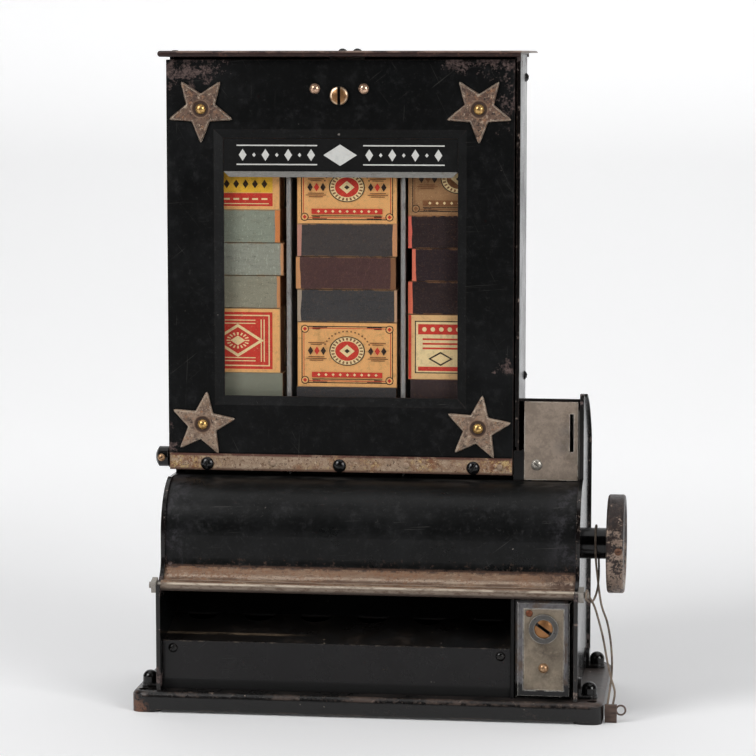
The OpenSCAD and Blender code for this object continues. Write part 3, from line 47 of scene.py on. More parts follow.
# Camera fitted to the photograph
FOCAL_PX, FRAME_PX, SENSOR_MM = 2862.3, 756, 36.0
TURN, TILT, ROLL = radians(7.346), radians(6.366), 0.0
camera_data = bpy.data.cameras.new("camera")
camera_data.sensor_width = SENSOR_MM
camera_data.lens = FOCAL_PX / FRAME_PX * SENSOR_MM
camera = bpy.data.objects.new("camera", camera_data)
camera.location = (0.2065, -1.5993, 0.3635)
camera.rotation_euler = (pi / 2 - TILT, ROLL, TURN)
bpy.context.collection.objects.link(camera)
bpy.context.scene.camera = camera
bpy.context.scene.view_settings.view_transform = "Standard"


def rgb(*srgb):
    """8-bit screen colour to the renderer's linear colour."""
    return tuple((c / 255 / 12.92) if c < 11 else ((c / 255 + 0.055) / 1.055) ** 2.4 for c in srgb)


def shade(color, times):
    return tuple(min(1.0, c * times) for c in color)


def box_mm(node):
    """The low and high corner of a CAD node, in millimetres."""
    return [tuple(c / MM for c in corner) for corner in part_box(node)]


class Mat:
    """A principled material built up in layers. Lengths in its coordinates are millimetres."""

    def __init__(self, name, color, rough, metal=0.0, spec=0.5, bevel=0.35):
        self.m = bpy.data.materials.new(name)
        self.m.use_nodes = True
        self.t = self.m.node_tree
        self.b = next(n for n in self.t.nodes if n.type == "BSDF_PRINCIPLED")
        coords = self.new("TexCoord")
        self.p = self.vector("SCALE", coords.outputs["Object"], scale=1000.0)
        self.normal = coords.outputs["Normal"]
        self.color, self.rough, self.metal, self.height = color, rough, metal, None
        self.b.inputs["Specular IOR Level"].default_value = spec
        self.bevel = bevel
        split = self.new("SeparateXYZ")
        self.put(split.inputs[0], self.p)
        self.x, self.y, self.z = split.outputs

    def new(self, kind):
        return self.t.nodes.new("ShaderNode" + kind)

    def node(self, kind, op, *values, **named):
        n = self.new(kind)
        n.operation = op
        for i, v in enumerate(values):
            self.put(n.inputs[i], v)
        for key, v in named.items():
            self.put(n.inputs[key.capitalize()], v)
        return n

    def vector(self, op, *values, **named):
        return self.node("VectorMath", op, *values, **named).outputs[0]

    def measure(self, op, a, b):
        """The number that a vector operation gives."""
        return self.node("VectorMath", op, a, b).outputs["Value"]

    def texture(self, kind, vector, **values):
        n = self.new(kind)
        self.put(n.inputs["Vector"], vector)
        for key, value in values.items():
            n.inputs[key].default_value = value
        return n

    def away(self, center, at=None):
        """The distance (mm) of the position, or of at, from that point."""
        return self.measure("DISTANCE", at or self.p, center)

    def put(self, socket, v):
        if isinstance(v, bpy.types.NodeSocket):
            self.t.links.new(v, socket)
        elif socket.type == "RGBA" and len(v) == 3:
            socket.default_value = (*v, 1.0)
        else:
            socket.default_value = v

    def math(self, op, a, b=0.0):
        return self.node("Math", op, a, b).outputs[0]

    def mul(self, *parts):
        return reduce(lambda a, b: self.math("MULTIPLY", a, b), parts)

    def top(self, *parts):
        return reduce(lambda a, b: self.math("MAXIMUM", a, b), parts)

    def add(self, a, b):
        return self.math("ADD", a, b)

    def sub(self, a, b):
        return self.math("SUBTRACT", a, b)

    def size(self, a):
        return self.math("ABSOLUTE", a)

    def inv(self, a):
        return self.sub(1.0, a)

    def ramp(self, v, lo, hi):
        n = self.new("MapRange")
        n.interpolation_type = "SMOOTHSTEP"
        for i, value in enumerate((v, lo, hi)):
            self.put(n.inputs[i], value)
        return n.outputs[0]

    def fall(self, v, lo, hi):
        """1 below lo, falling to 0 at hi."""
        return self.inv(self.ramp(v, lo, hi))

    def band(self, v, lo, hi, soft):
        return self.mul(self.ramp(v, lo - soft, lo + soft), self.fall(v, hi - soft, hi + soft))

    def noise(self, scale, detail=5.0, rough=0.6, shift=0.0, stretch=(1, 1, 1), warp=0.0, turn=0.0):
        """Noise with that many features in a millimetre; shift picks another part of it."""
        v = self.p
        if turn:
            r = self.new("VectorRotate")
            r.rotation_type = "Y_AXIS"
            self.put(r.inputs["Vector"], v)
            r.inputs["Angle"].default_value = radians(turn)
            v = r.outputs[0]
        if stretch != (1, 1, 1):
            v = self.vector("MULTIPLY", v, stretch)
        if shift:
            v = self.vector("ADD", v, (shift, shift * 0.7, -shift))
        return self.texture("TexNoise", v, Scale=scale, Detail=detail, Roughness=rough,
                            Distortion=warp).outputs[0]

    def blots(self, lo, hi, *noise, **more):
        """Noise, cut to a soft mask between the two levels; then noise's own values."""
        return self.ramp(self.noise(*noise, **more), lo, hi)

    def specks(self, scale, size, share, shift=0.0):
        """1 in ragged specks: in that share of the cells, size being a part of the cell."""
        ragged = self.texture("TexNoise", self.p, Scale=2.4 * scale, Detail=4.0)
        push = self.vector("SCALE", ragged.outputs["Color"], scale=0.55 / scale)
        v = self.vector("ADD", self.p, (shift, shift, shift))
        v = self.vector("ADD", v, push)
        n = self.texture("TexVoronoi", v, Scale=scale)
        chance = self.new("SeparateColor")
        self.put(chance.inputs[0], n.outputs["Color"])
        own = self.mul(chance.outputs[1], size)
        inside = self.math("GREATER_THAN", self.sub(own, n.outputs["Distance"]), 0.0)
        return self.mul(inside, self.math("GREATER_THAN", chance.outputs[0], 1.0 - share))

    def hollow_shade(self, reach=1.5):
        """1 in slots, seats and corners, judged over that reach (mm): the mask for painted shade in hollows.
        """
        n = self.new("AmbientOcclusion")
        n.samples = 6
        n.only_local = True
        n.inputs["Distance"].default_value = reach * MM
        return self.fall(n.outputs["AO"], 0.35, 0.85)

    def shaken(self, scale, reach):
        """The position, moved about by noise of that scale, by up to about half of reach (mm)."""
        n = self.texture("TexNoise", self.p, Scale=scale, Detail=10.0, Roughness=0.75)
        push = self.vector("SUBTRACT", n.outputs["Color"], (0.5, 0.5, 0.5))
        push = self.vector("SCALE", push, scale=reach)
        return self.vector("ADD", self.p, push)

    def spot(self, center, radius, soft, at=None):
        """1 inside a ball of that radius (mm), falling to 0 over soft."""
        return self.fall(self.away(center, at), radius - soft, radius + soft)

    def round_normal(self, radius, samples=4):
        n = self.new("Bevel")
        n.samples = samples
        n.inputs["Radius"].default_value = radius * MM
        return n.outputs[0]

    def edges(self, radius, lo=0.01, hi=0.12):
        """1 along edges within about that radius (mm)."""
        flat = self.new("NewGeometry").outputs["True Normal"]
        return self.ramp(self.inv(self.measure("DOT_PRODUCT", self.round_normal(radius, 6), flat)), lo, hi)

    def any_spot(self, places, soft=0.6, at=None):
        """1 within about each (centre, radius) of the list."""
        return self.top(*[self.spot(center, radius * (1 - soft / 2), radius * soft, at)
                          for center, radius in places])

    def facing(self, i, lo=0.4, hi=0.6):
        """1 where the surface faces along + or - that axis."""
        n = self.new("SeparateXYZ")
        self.t.links.new(self.normal, n.inputs[0])
        return self.ramp(self.size(n.outputs[i]), lo, hi)

    def mix(self, mask, a, b, kind="RGBA", first=6, out=2):
        """Colour a, giving way to b where the mask is 1."""
        n = self.new("Mix")
        n.data_type = kind
        for i, v in ((0, mask), (first, a), (first + 1, b)):
            self.put(n.inputs[i], v)
        return n.outputs[out]

    def blend(self, mask, a, b):
        """The same for numbers."""
        return self.mix(mask, a, b, "FLOAT", 2, 0)

    def layer(self, mask, color, rough=None, metal=None, height=0.0):
        """Lays a coat over what is there; mask is a value, or a list of factors."""
        if isinstance(mask, list):
            mask = self.mul(*mask)
        self.color = self.mix(mask, self.color, color)
        if rough is not None:
            self.rough = self.blend(mask, self.rough, rough)
        if metal is not None:
            self.metal = self.blend(mask, self.metal, metal)
        if height:
            self.bump(mask, height)

    def bump(self, value, height):
        """Adds height (mm) times value."""
        h = self.mul(value, height)
        self.height = h if self.height is None else self.add(self.height, h)

    def grain(self, height, *noise):
        self.bump(self.noise(*noise), height)

    def done(self):
        for key, v in (("Base Color", self.color), ("Roughness", self.rough), ("Metallic", self.metal)):
            self.put(self.b.inputs[key], v)
        normal = self.round_normal(self.bevel) if self.bevel else None
        if self.height is not None:
            n = self.new("Bump")
            n.inputs["Distance"].default_value = MM
            n.inputs["Strength"].default_value = 1.0
            self.put(n.inputs["Height"], self.height)
            if normal:
                self.put(n.inputs["Normal"], normal)
            normal = n.outputs[0]
        if normal:
            self.put(self.b.inputs["Normal"], normal)
        return self.m


DARK_RUST = rgb(52, 40, 38)
JAPAN = rgb(9, 10, 10)


def japan(name, rust=(), wear=0.5, rough=0.3, dust=0.5, tone=JAPAN, hem=None, spec=0.2, marks=()):
    """Old black stove enamel: clouded gloss, fine scratches, specks, and brown wear at edges and given spots.

    hem(m) gives a mask of folded edges rubbed brown; marks are (mask maker, colour, strength)."""
    m = Mat(name, tone, rough, spec=spec)
    m.rough = m.add(m.mul(m.noise(0.03, 7, 0.65), 0.4), rough - 0.18)
    m.layer([m.blots(0.44, 0.7, 0.016, 10, 0.74, 40), 0.9 * dust], rgb(27, 28, 29))
    m.layer([m.blots(0.5, 0.72, 0.12, 10, 0.78, 7), 0.8 * dust], rgb(40, 40, 41), 0.5)
    m.layer([m.blots(0.55, 0.68, 0.5, 7, 0.8, 27), 0.7 * dust], rgb(46, 45, 45), 0.5)
    for k, turn in enumerate((-52, 38, -64, 4, 88)):
        line = m.blots(0.7, 0.74, 0.9, 2, 0.5, 11 + 31 * k, (0.03, 1, 1.5), turn=turn)
        m.layer([line, m.blots(0.5, 0.62, 0.03, 3, 0.5, 90 * k + 5), 0.4 * dust], rgb(84, 82, 79), 0.45)
    m.layer([m.specks(0.07, 0.07, 0.35, 13), m.blots(0.42, 0.55, 0.03, 3, 0.5, 61)], rgb(128, 122, 116), 0.6)
    m.layer([m.specks(0.2, 0.12, 0.2, 57), m.blots(0.48, 0.6, 0.02, 3, 0.5, 33)], rgb(92, 86, 82), 0.6)
    for mask, color, strength in marks:
        m.layer([mask(m), strength], color, 0.6)
    if hem:
        fold = hem(m)
        m.layer(fold, rgb(17, 14, 13), 0.2)
        m.layer([fold, m.blots(0.57, 0.63, 0.14, 9, 0.78, 29)], rgb(112, 98, 90), 0.4)
    edge = m.mul(m.edges(0.9), m.blots(0.52 - 0.2 * wear, 0.68 - 0.2 * wear, 0.12, 8, 0.75, 23))
    m.layer([edge, wear], rgb(66, 51, 46), 0.5)
    if rust:
        patches = m.any_spot(rust, 0.9, m.shaken(0.035, 60))
        grain = m.add(m.mul(m.noise(0.16, 10, 0.76, 3), 0.75), m.mul(m.noise(0.7, 8, 0.8, 19), 0.4))
        eaten = m.mul(m.ramp(m.add(grain, m.mul(patches, 0.32)), 0.79, 0.815), m.ramp(patches, 0.05, 0.3))
        tint = m.mix(m.blots(0.38, 0.62, 0.5, 8, 0.8, 51), rgb(44, 35, 34), rgb(102, 86, 82))
        m.layer(eaten, tint, 0.6, None, -0.08)
    m.grain(0.03, 0.25, 4, 0.5, 77)
    m.grain(0.006, 2.2, 4, 0.6, 5)
    return m.done()


def steel(name, color, stain, rough=0.42, metal=0.6, amount=0.5, grain=(1, 1, 1), edge=None):
    """Bare sheet with brown stain and pits, painted shade in its hollows, and edge laid along the edges as a
    painted highlight; grain stretches the fine lines left by rubbing.
    """
    m = Mat(name, color, rough, metal)
    fine = m.noise(1.6, 5, 0.65, 3, grain)
    m.color = m.mix(m.ramp(fine, 0.3, 0.7), m.color, shade(color, 0.72))
    m.rough = m.add(m.mul(m.noise(0.09, 5, 0.6, 9), 0.3), rough - 0.13)
    big = m.ramp(m.add(m.mul(m.noise(0.06, 7, 0.7, 21), 0.7), m.mul(m.noise(0.5, 6, 0.72, 2), 0.4)),
                 0.62 - 0.16 * amount, 0.78 - 0.16 * amount)
    m.layer(big, stain, 0.62, metal * 0.35, -0.02)
    pits = m.blots(0.6, 0.68, 1.3, 5, 0.7, 33)
    m.layer([pits, 0.35 + 0.5 * amount], shade(stain, 0.5), 0.7, metal * 0.3, -0.03)
    # painted highlight: a pale colour along the edges
    if edge:
        m.layer([m.edges(0.7), m.blots(0.3, 0.6, 0.2, 5, 0.6, 8)], edge, 0.35, metal)
    # painted shade: near-black stain in slots and corners
    m.layer([m.hollow_shade(), 0.85], shade(stain, 0.18), 0.75, 0.1)
    m.bump(fine, 0.012)
    return m.done()


def brass(name, color, rough=0.26, metal=0.8, dark=rgb(92, 62, 40), rim=None, slot=None):
    """Tarnished brass; rim is the centre and radius (mm) of a round face whose edge is rubbed pale.

    slot is the turn (degrees from level) of a key slot across that face, painted near-black as its shade."""
    m = Mat(name, color, rough, metal, bevel=0.25)
    m.layer([m.blots(0.42, 0.72, 0.45, 6, 0.65, 4), 0.7], dark, rough + 0.16)
    m.layer([m.blots(0.58, 0.7, 2.0, 5, 0.7, 14), 0.5], shade(dark, 0.4), 0.6, 0.4)
    if rim:
        center, radius = rim
        inside = m.spot(center, radius - 1.2, 0.35)
        away = m.away(center)
        m.bump(m.mul(away, away), -0.05)
        m.layer([m.inv(inside), m.blots(0.36, 0.56, 0.25, 5, 0.7, 3)], rgb(216, 190, 160), 0.3)
        m.layer([m.inv(m.spot(center, radius - 0.45, 0.2)), 0.8], rgb(60, 42, 32), 0.5)
        a = radians(slot)
        off = m.add(m.mul(m.sub(m.x, center[0]), -sin(a)), m.mul(m.sub(m.z, center[2]), cos(a)))
        # painted shade: the key slot near-black
        m.layer(m.fall(m.size(off), 0.8, 1.0), rgb(9, 7, 6), 0.8, 0.0)
    # painted shade in slots and corners
    m.layer(m.hollow_shade(), rgb(14, 11, 10), 0.8, 0.0)
    m.grain(0.01, 1.8, 4, 0.6, 8)
    return m.done()


def black_iron(name, color, rough, stain):
    m = Mat(name, color, rough, 0.3, bevel=0.3)
    m.layer([m.blots(0.5, 0.75, 0.5, 6, 0.65, 6), stain], DARK_RUST, 0.5)
    m.layer([m.edges(0.45), 0.35], rgb(104, 98, 94), 0.35, 0.7)
    # painted shade: near-black in slots and corners
    m.layer(m.hollow_shade(1.2), rgb(8, 8, 8), 0.7, 0.0)
    m.grain(0.02, 1.4, 4, 0.6, 2)
    return m.done()


def paint(nodes, material):
    """Gives each named CAD node the material."""
    for node in nodes.split():
        materials = NODES[node].data.materials
        materials.clear()
        materials.append(material)


# String: the route's points repeat those of the solid
ROUTE = [
    (134, -49, 9.6), (134.4, -48.6, 12), (135.2, -47, 18), (136, -44.4, 26), (136, -42, 34),
    (135, -40, 44), (133, -38.4, 54), (130, -37, 62), (128.4, -35.4, 70), (127.2, -33, 78),
    (126.2, -31, 86), (125.8, -29.8, 92), (125.6, -29, 98), (125.5, -26, 102.4), (125.5, -21.4, 104.6),
    (125.5, -16.2, 104.2), (125.5, -12, 101.2), (125.6, -9.8, 97.4), (126, -10, 92), (126.8, -13, 84),
    (127.2, -19, 77), (127, -27, 71), (126, -34, 67), (124.6, -40, 65.6), (122.8, -45, 66.6),
    (121.6, -48.2, 69.2), (121.7, -50, 68.4), (121.8, -51.8, 69.2), (121.9, -52.6, 71), (122.1, -51.8, 72.8),
    (122.3, -50, 73.6), (122.5, -48.2, 72.8), (123.2, -46.4, 70), (126.4, -43.6, 63), (130, -42.4, 50),
    (131.8, -43, 42), (133.8, -45, 32), (136, -47.4, 24), (138, -48.4, 17), (137, -49, 9.6)]
STRING_D = 1.2


def smooth_route(points, steps):
    """Catmull-Rom curve through the points."""
    pts = [Vector(p) for p in points]
    pts = [2 * pts[0] - pts[1]] + pts + [2 * pts[-1] - pts[-2]]
    out = []
    for i in range(1, len(pts) - 2):
        a, b, c, d = pts[i - 1:i + 3]
        for k in range(steps):
            t = k / steps
            out.append(0.5 * ((2 * b) + (c - a) * t + (2 * a - 5 * b + 4 * c - d) * t * t
                              + (3 * b - a - 3 * c + d) * t ** 3))
    return out + [pts[-2]]


def mesh_object(name, verts, faces, materials, indices=None, smooth=False):
    mesh = bpy.data.meshes.new(name)
    mesh.from_pydata([tuple(Vector(v) * MM) for v in verts], [], faces)
    for m in materials:
        mesh.materials.append(m)
    for i, f in enumerate(mesh.polygons):
        f.material_index = indices[i] if indices else 0
        f.use_smooth = smooth
    mesh.update()
    o = bpy.data.objects.new(name, mesh)
    bpy.context.collection.objects.link(o)
    return o


def ring(center, radius, u, v, sides):
    turns = [2 * pi * k / sides for k in range(sides)]
    return [center + radius * (u * cos(a) + v * sin(a)) for a in turns]


def ring_faces(rings, sides):
    """Quads between each ring of points and the next."""
    pairs = [(i * sides, k, (k + 1) % sides) for i in range(rings - 1) for k in range(sides)]
    return [(a + k, a + n, a + sides + n, a + sides + k) for a, k, n in pairs]


def tube(name, path, radius, material, sides=10):
    verts = []
    side = Vector((1, 0.2, 0.1))
    for i, p in enumerate(path):
        way = (path[min(i + 1, len(path) - 1)] - path[max(i - 1, 0)]).normalized()
        u = way.cross(side).normalized()
        verts += ring(p, radius, u, way.cross(u), sides)
    faces = ring_faces(len(path), sides)
    last = (len(path) - 1) * sides
    faces += [tuple(range(sides))[::-1], tuple(last + k for k in range(sides))]
    return mesh_object(name, verts, faces, [material], smooth=True)


def string_material():
    m = Mat("cotton_string", rgb(122, 108, 94), 0.85, bevel=0)
    m.layer(m.blots(0.42, 0.62, 0.12, 5, 0.6, 3), rgb(82, 68, 58))
    m.layer(m.blots(0.5, 0.7, 2.5, 4, 0.7, 8), rgb(158, 146, 132))
    m.grain(0.12, 1.6, 4, 0.7, 2, (1, 1, 2.5))
    return m.done()


path = smooth_route(ROUTE, 4)
string = tube("string_loop", path, STRING_D / 2, string_material())
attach(string, "machine")
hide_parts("string")
LENGTH = sum((b - a).length for a, b in zip(path, path[1:])) * MM

# Body: places on it in mm (side plates, back and front of the lower body; the case; the base's edges)
SIDE, BACK, FRONT = 117, 54, -54
CASE_R, CASE_BACK, CASE_FOOT, CASE_TOP = 81, 40, 130, 366
BASE_X, BASE_Y = 132, 58
LOCK_X, LOCK_Z, CASH_LOCK_X, CASH_LOCK_Z, CASH_Y = -20.5, 342.9, 98.7, 51.5, -51
door_lo, door_hi = box_mm("door_panel")
L, R, T, F = door_lo[0], door_hi[0], door_hi[2], door_lo[1]  # its left, right, top and front
paint("door_panel", japan("door_japan", [
    ((L, F, T), 30), ((L + 14, F, T - 5), 20), ((L + 28, F, T - 2), 17), ((L + 17, F, T - 16), 12),
    ((R, F, T - 2), 30), ((R - 16, F, T - 3), 20), ((R - 29, F, T - 2), 14), ((R - 4, F, T - 24), 14),
    ((R - 5, F, T - 36), 12), ((R, F, door_lo[2] + 58), 12), ((L, F, door_lo[2] + 14), 16)],
    0.6, 0.38, 0.75, spec=0.14))
plate_rust = [((-SIDE, FRONT, 75), 20), ((-SIDE, FRONT, 14), 16), ((SIDE, FRONT, 75), 14),
              ((SIDE, -9, 176), 14), ((SIDE, BACK, 16), 26), ((SIDE, BACK, 50), 16),
              ((-SIDE, BACK, 120), 30), ((-SIDE, BACK, 16), 24)]
for node in ("left_side_plate", "right_side_plate"):
    paint(node, japan(node + "_japan", plate_rust, 0.3, 0.16, 0.3, spec=0.45, hem=lambda m: m.top(
        m.ramp(m.size(m.x), SIDE + 0.12, SIDE + 0.3), m.mul(m.facing(1), m.fall(m.y, 40, 50)))))
cover_rust = [((-115, -38, 84), 9), ((115, -38, 84), 10), ((112, -44, 80), 9)]
paint("drum_cover", japan("cover_japan", cover_rust, 0.5, 0.3, 0.85, spec=0.24, marks=[
    # painted sheen with dust: lavender-grey clouds near both ends of the cover
    (lambda m: m.mul(m.ramp(m.size(m.x), 96, 113), m.blots(0.46, 0.62, 0.09, 10, 0.8, 4)),
     rgb(58, 56, 60), 0.8),
    (lambda m: m.mul(m.fall(m.z, 80.2, 81.6), m.blots(0.36, 0.54, 0.3, 9, 0.8, 8)),
     rgb(86, 62, 48), 0.9),
    (lambda m: m.mul(m.fall(m.z, 81, 88), m.blots(0.56, 0.62, 0.35, 9, 0.8, 48)),
     rgb(80, 62, 52), 0.9),
    (lambda m: m.mul(m.ramp(m.z, 123, 127), m.blots(0.5, 0.62, 0.08, 9, 0.78, 14, (0.4, 1, 1))),
     rgb(62, 58, 55), 0.7)]))
tray_reflection_and_dust = [
    # painted reflection: the lower band of the glossy front near-black; the line above it is dust
    (lambda m: m.fall(m.z, 16.5, 18.5), rgb(6, 6, 6), 0.9),
    (lambda m: m.mul(m.ramp(m.z, 38.6, 39.4), m.blots(0.5, 0.62, 0.2, 8, 0.78, 5)), rgb(92, 82, 72), 0.8)]
paint("tray_front", japan("tray_japan", [((-115, -48, 13), 7)], 0.3, 0.24, 0.3, rgb(16, 14, 15), spec=0.3,
                          marks=tray_reflection_and_dust))
case_rust = [((CASE_R, -5, CASE_TOP), 24), ((CASE_R, -5, CASE_FOOT), 14), ((-SIDE, CASE_BACK, CASE_TOP), 28),
             ((CASE_R, CASE_BACK, CASE_TOP), 22), ((-SIDE, CASE_BACK, CASE_FOOT), 24),
             ((CASE_R, CASE_BACK, 240), 12)]
paint("magazine_case", japan("case_japan", case_rust, 0.6, 0.2, 0.4, spec=0.35, hem=lambda m: m.mul(
    m.facing(1), m.ramp(m.size(m.x), 76.5, 77.2), m.fall(m.y, -6, -4))))
back_rust = [((-SIDE, BACK, 12), 34), ((SIDE, BACK, 12), 26), ((-40, BACK, 12), 16), ((90, BACK, 127), 16)]
paint("back_panel", japan("back_japan", back_rust, 0.8, 0.34))
paint("coin_cover", japan("tower_japan", [((SIDE, CASE_BACK, 150), 18)], 0.6, 0.24, 0.4))
floor_marks = [
    (lambda m: m.mul(m.band(m.y, -35, -32.5, 0.8), m.fall(m.x, -60, -30),
                     m.blots(0.36, 0.54, 0.12, 8, 0.76, 5, (0.4, 1, 1))), rgb(112, 96, 78), 0.8),
    (lambda m: m.blots(0.5, 0.66, 0.05, 9, 0.76, 15), rgb(52, 44, 38), 0.7),
    (lambda m: m.specks(0.22, 0.14, 0.4, 5), rgb(128, 116, 100), 0.9)]
paint("delivery_floor", japan("floor_black", (), 0.5, 0.3, 0.9, rgb(22, 19, 17), spec=0.4, marks=floor_marks))
for node in ("inner_wall", "drum_apron", "deck_plate"):
    paint(node, japan(node + "_black", (), 0.5, 0.45, 0.35, rgb(12, 11, 11)))


def base_material():
    """Base: rubbed right side, worn rims, rust at the front left corner."""
    m = Mat("base_japan", rgb(15, 14, 14), 0.26, spec=0.45)
    top = m.facing(2)
    m.layer([top, m.blots(0.4, 0.62, 0.03, 8, 0.7, 5)], rgb(38, 33, 31), 0.45)
    right = m.mul(top, m.ramp(m.x, 108, 122))
    m.layer([right, 0.85], rgb(58, 50, 47), 0.5)
    lines = m.blots(0.47, 0.6, 0.22, 7, 0.72, 9, (0.35, 1.6, 1), warp=0.6)
    m.layer([right, lines], rgb(84, 74, 69), 0.5)
    m.layer([right, m.blots(0.56, 0.66, 0.5, 7, 0.76, 60, (0.3, 1.4, 1)), 0.7], rgb(34, 29, 27), 0.4)
    edge = m.top(m.edges(1.6, 0.03, 0.2), m.mul(m.facing(2, 0.1, 0.35), m.inv(m.facing(2, 0.93, 0.99))))
    m.layer([edge, m.blots(0.48, 0.58, 0.06, 10, 0.8, 3), 0.85], rgb(70, 56, 49), 0.45)
    m.layer([edge, m.blots(0.58, 0.64, 0.3, 8, 0.8, 83), 0.8], rgb(130, 114, 103), 0.45)
    low = m.mul(m.inv(top), m.blots(0.58, 0.66, 0.09, 9, 0.78, 31, (0.5, 1, 1)))
    m.layer([low, 0.6], rgb(58, 48, 44), 0.45)
    corner = m.any_spot([((-BASE_X, -BASE_Y, 4), 7), ((5 - BASE_X, -BASE_Y, 2), 6),
                         ((-BASE_X, 6 - BASE_Y, 6), 6)], 0.5, m.shaken(0.12, 14))
    m.layer([corner, m.blots(0.42, 0.54, 0.4, 8, 0.78, 18)], rgb(110, 76, 58), 0.6)
    m.layer(m.specks(0.16, 0.16, 0.25, 21), rgb(150, 142, 132), 0.6)
    m.grain(0.3, 0.12, 6, 0.65, 1)
    m.grain(0.03, 0.9, 5, 0.7, 6)
    return m.done()


def lid_material():
    """Brown enamel, worn pale along the rim."""
    m = Mat("lid_brown", rgb(50, 32, 29), 0.34, spec=0.3)
    m.layer([m.blots(0.44, 0.64, 0.05, 9, 0.76, 6), 0.7], rgb(30, 21, 20), 0.36)
    m.layer(m.blots(0.55, 0.63, 0.3, 8, 0.8, 31), rgb(84, 56, 46), 0.6)
    (x0, y0, _), (x1, y1, _) = box_mm("lid")
    inner = m.mul(m.band(m.x, x0 + 5, x1 - 5, 3), m.band(m.y, y0 + 4, y1 - 4, 3))
    worn = m.mul(m.ramp(m.z, 366.5, 367.4), m.blots(0.4, 0.55, 0.2, 7, 0.75, 2, (0.4, 1, 1)))
    m.layer([worn, m.inv(m.mul(inner, 0.88))], rgb(120, 98, 86), 0.4)
    m.layer([inner, m.blots(0.42, 0.66, 0.03, 9, 0.72, 24), 0.5], rgb(88, 66, 56), 0.5)
    m.layer([m.specks(0.2, 0.2, 0.3, 5), 0.8], rgb(16, 13, 12), 0.5)
    m.layer([m.ramp(m.x, 81.2, 82.4), m.blots(0.3, 0.5, 0.3, 6, 0.7, 4)], rgb(150, 142, 136), 0.5, 0.3)
    m.grain(0.06, 0.6, 6, 0.65, 3)
    return m.done()


def lip_material():
    """Bare steel in bands by height, with stains; the bright line along the bead is a painted highlight and
    the dark foot below it is painted shade.
    """
    m = Mat("lip_steel", rgb(138, 115, 95), 0.44, 0.3)
    m.layer(m.blots(0.48, 0.58, 0.6, 9, 0.8, 3, (0.16, 1, 1)), rgb(104, 80, 63), 0.55, 0.2)
    m.layer(m.blots(0.56, 0.62, 0.6, 8, 0.82, 53, (0.2, 1, 1)), rgb(182, 162, 140), 0.42, 0.4)
    m.layer([m.ramp(m.z, 75.6, 77.4), m.blots(0.36, 0.56, 0.4, 8, 0.78, 91, (0.2, 1, 1)), 0.8],
            rgb(122, 92, 70), 0.5, 0.2)
    m.layer([m.band(m.z, 74.2, 75.8, 0.6), m.blots(0.34, 0.54, 0.4, 7, 0.76, 35, (0.2, 1, 1)), 0.8],
            rgb(178, 160, 142), 0.4, 0.35)
    stain = m.blots(0.46, 0.58, 0.02, 8, 0.74, 71, (1, 1, 0.4))
    m.layer([stain, m.blots(0.44, 0.58, 0.5, 8, 0.8, 37), 0.8], rgb(126, 86, 58), 0.65, 0.1)
    right = m.ramp(m.x, 88, 108)
    m.layer([right, m.blots(0.4, 0.56, 0.3, 8, 0.78, 12)], rgb(72, 48, 36), 0.65, 0.1)
    m.layer(m.blots(0.575, 0.615, 0.5, 8, 0.84, 17), rgb(50, 32, 25), 0.7, 0.0, -0.04)
    m.layer([m.ramp(m.z, 78.4, 79.8), m.blots(0.44, 0.58, 0.2, 8, 0.76, 44)], rgb(60, 42, 34), 0.6, 0.1)
    m.layer([m.band(m.z, 73.2, 74.6, 0.5), m.blots(0.44, 0.58, 0.1, 8, 0.76, 6, (0.3, 1, 1)), 0.8],
            rgb(80, 57, 43), 0.6, 0.1)
    bead = m.fall(m.z, 72.4, 73.4)
    m.layer(bead, rgb(128, 114, 101), 0.42, 0.35)
    m.layer([bead, m.blots(0.47, 0.6, 0.7, 7, 0.78, 9, (0.3, 1, 1))], rgb(92, 74, 61), 0.55, 0.2)
    # painted highlight: a bright line along the top of the bead
    m.layer([m.band(m.z, 72.0, 73.0, 0.4), m.blots(0.4, 0.56, 0.15, 7, 0.74, 19, (0.3, 1, 1)), 0.9],
            rgb(196, 182, 164), 0.38, 0.3)
    # painted shade: the dark foot under the bead
    m.layer([m.fall(m.z, 69.2, 70.6), 0.8], rgb(60, 48, 42), 0.5, 0.3)
    m.grain(0.03, 1.5, 5, 0.7, 4)
    return m.done()


def rail_material():
    """Freckled plate, browned at its ends, top and foot."""
    m = Mat("rail_steel", rgb(150, 126, 104), 0.5, 0.15)
    (x0, _, z0), (x1, _, z1) = box_mm("door_rail")
    m.layer(m.blots(0.46, 0.6, 0.12, 8, 0.76, 12, (0.4, 1, 1)), rgb(172, 150, 128), 0.42, 0.3)
    ends = m.top(m.fall(m.x, x0 + 10, x0 + 40), m.ramp(m.x, x1 - 34, x1 - 8),
                 m.blots(0.5, 0.64, 0.018, 5, 0.65, 8))
    m.layer([ends, m.blots(0.44, 0.54, 0.22, 9, 0.82, 61)], rgb(126, 82, 54), 0.6, 0.1)
    m.layer([ends, m.blots(0.52, 0.58, 0.4, 8, 0.82, 41)], rgb(192, 164, 112), 0.6, 0.1)
    m.layer(m.blots(0.53, 0.58, 0.4, 9, 0.84, 3), rgb(100, 69, 48), 0.65, 0.1, -0.03)
    m.layer(m.blots(0.57, 0.62, 0.5, 8, 0.82, 77), rgb(202, 183, 160), 0.5, 0.3)
    m.layer(m.blots(0.57, 0.61, 0.55, 8, 0.84, 27), rgb(50, 32, 24), 0.7, 0.1, -0.04)
    top, foot = m.ramp(m.z, z1 - 1.7, z1 - 0.6), m.fall(m.z, z0 + 0.4, z0 + 1.8)
    m.layer([top, m.blots(0.32, 0.5, 0.15, 8, 0.76, 2)], rgb(88, 52, 40), 0.6, 0.1)
    m.layer([foot, m.blots(0.28, 0.46, 0.2, 8, 0.76, 32)], rgb(84, 58, 44), 0.6, 0.1)
    m.grain(0.2, 0.9, 7, 0.8, 6)
    return m.done()


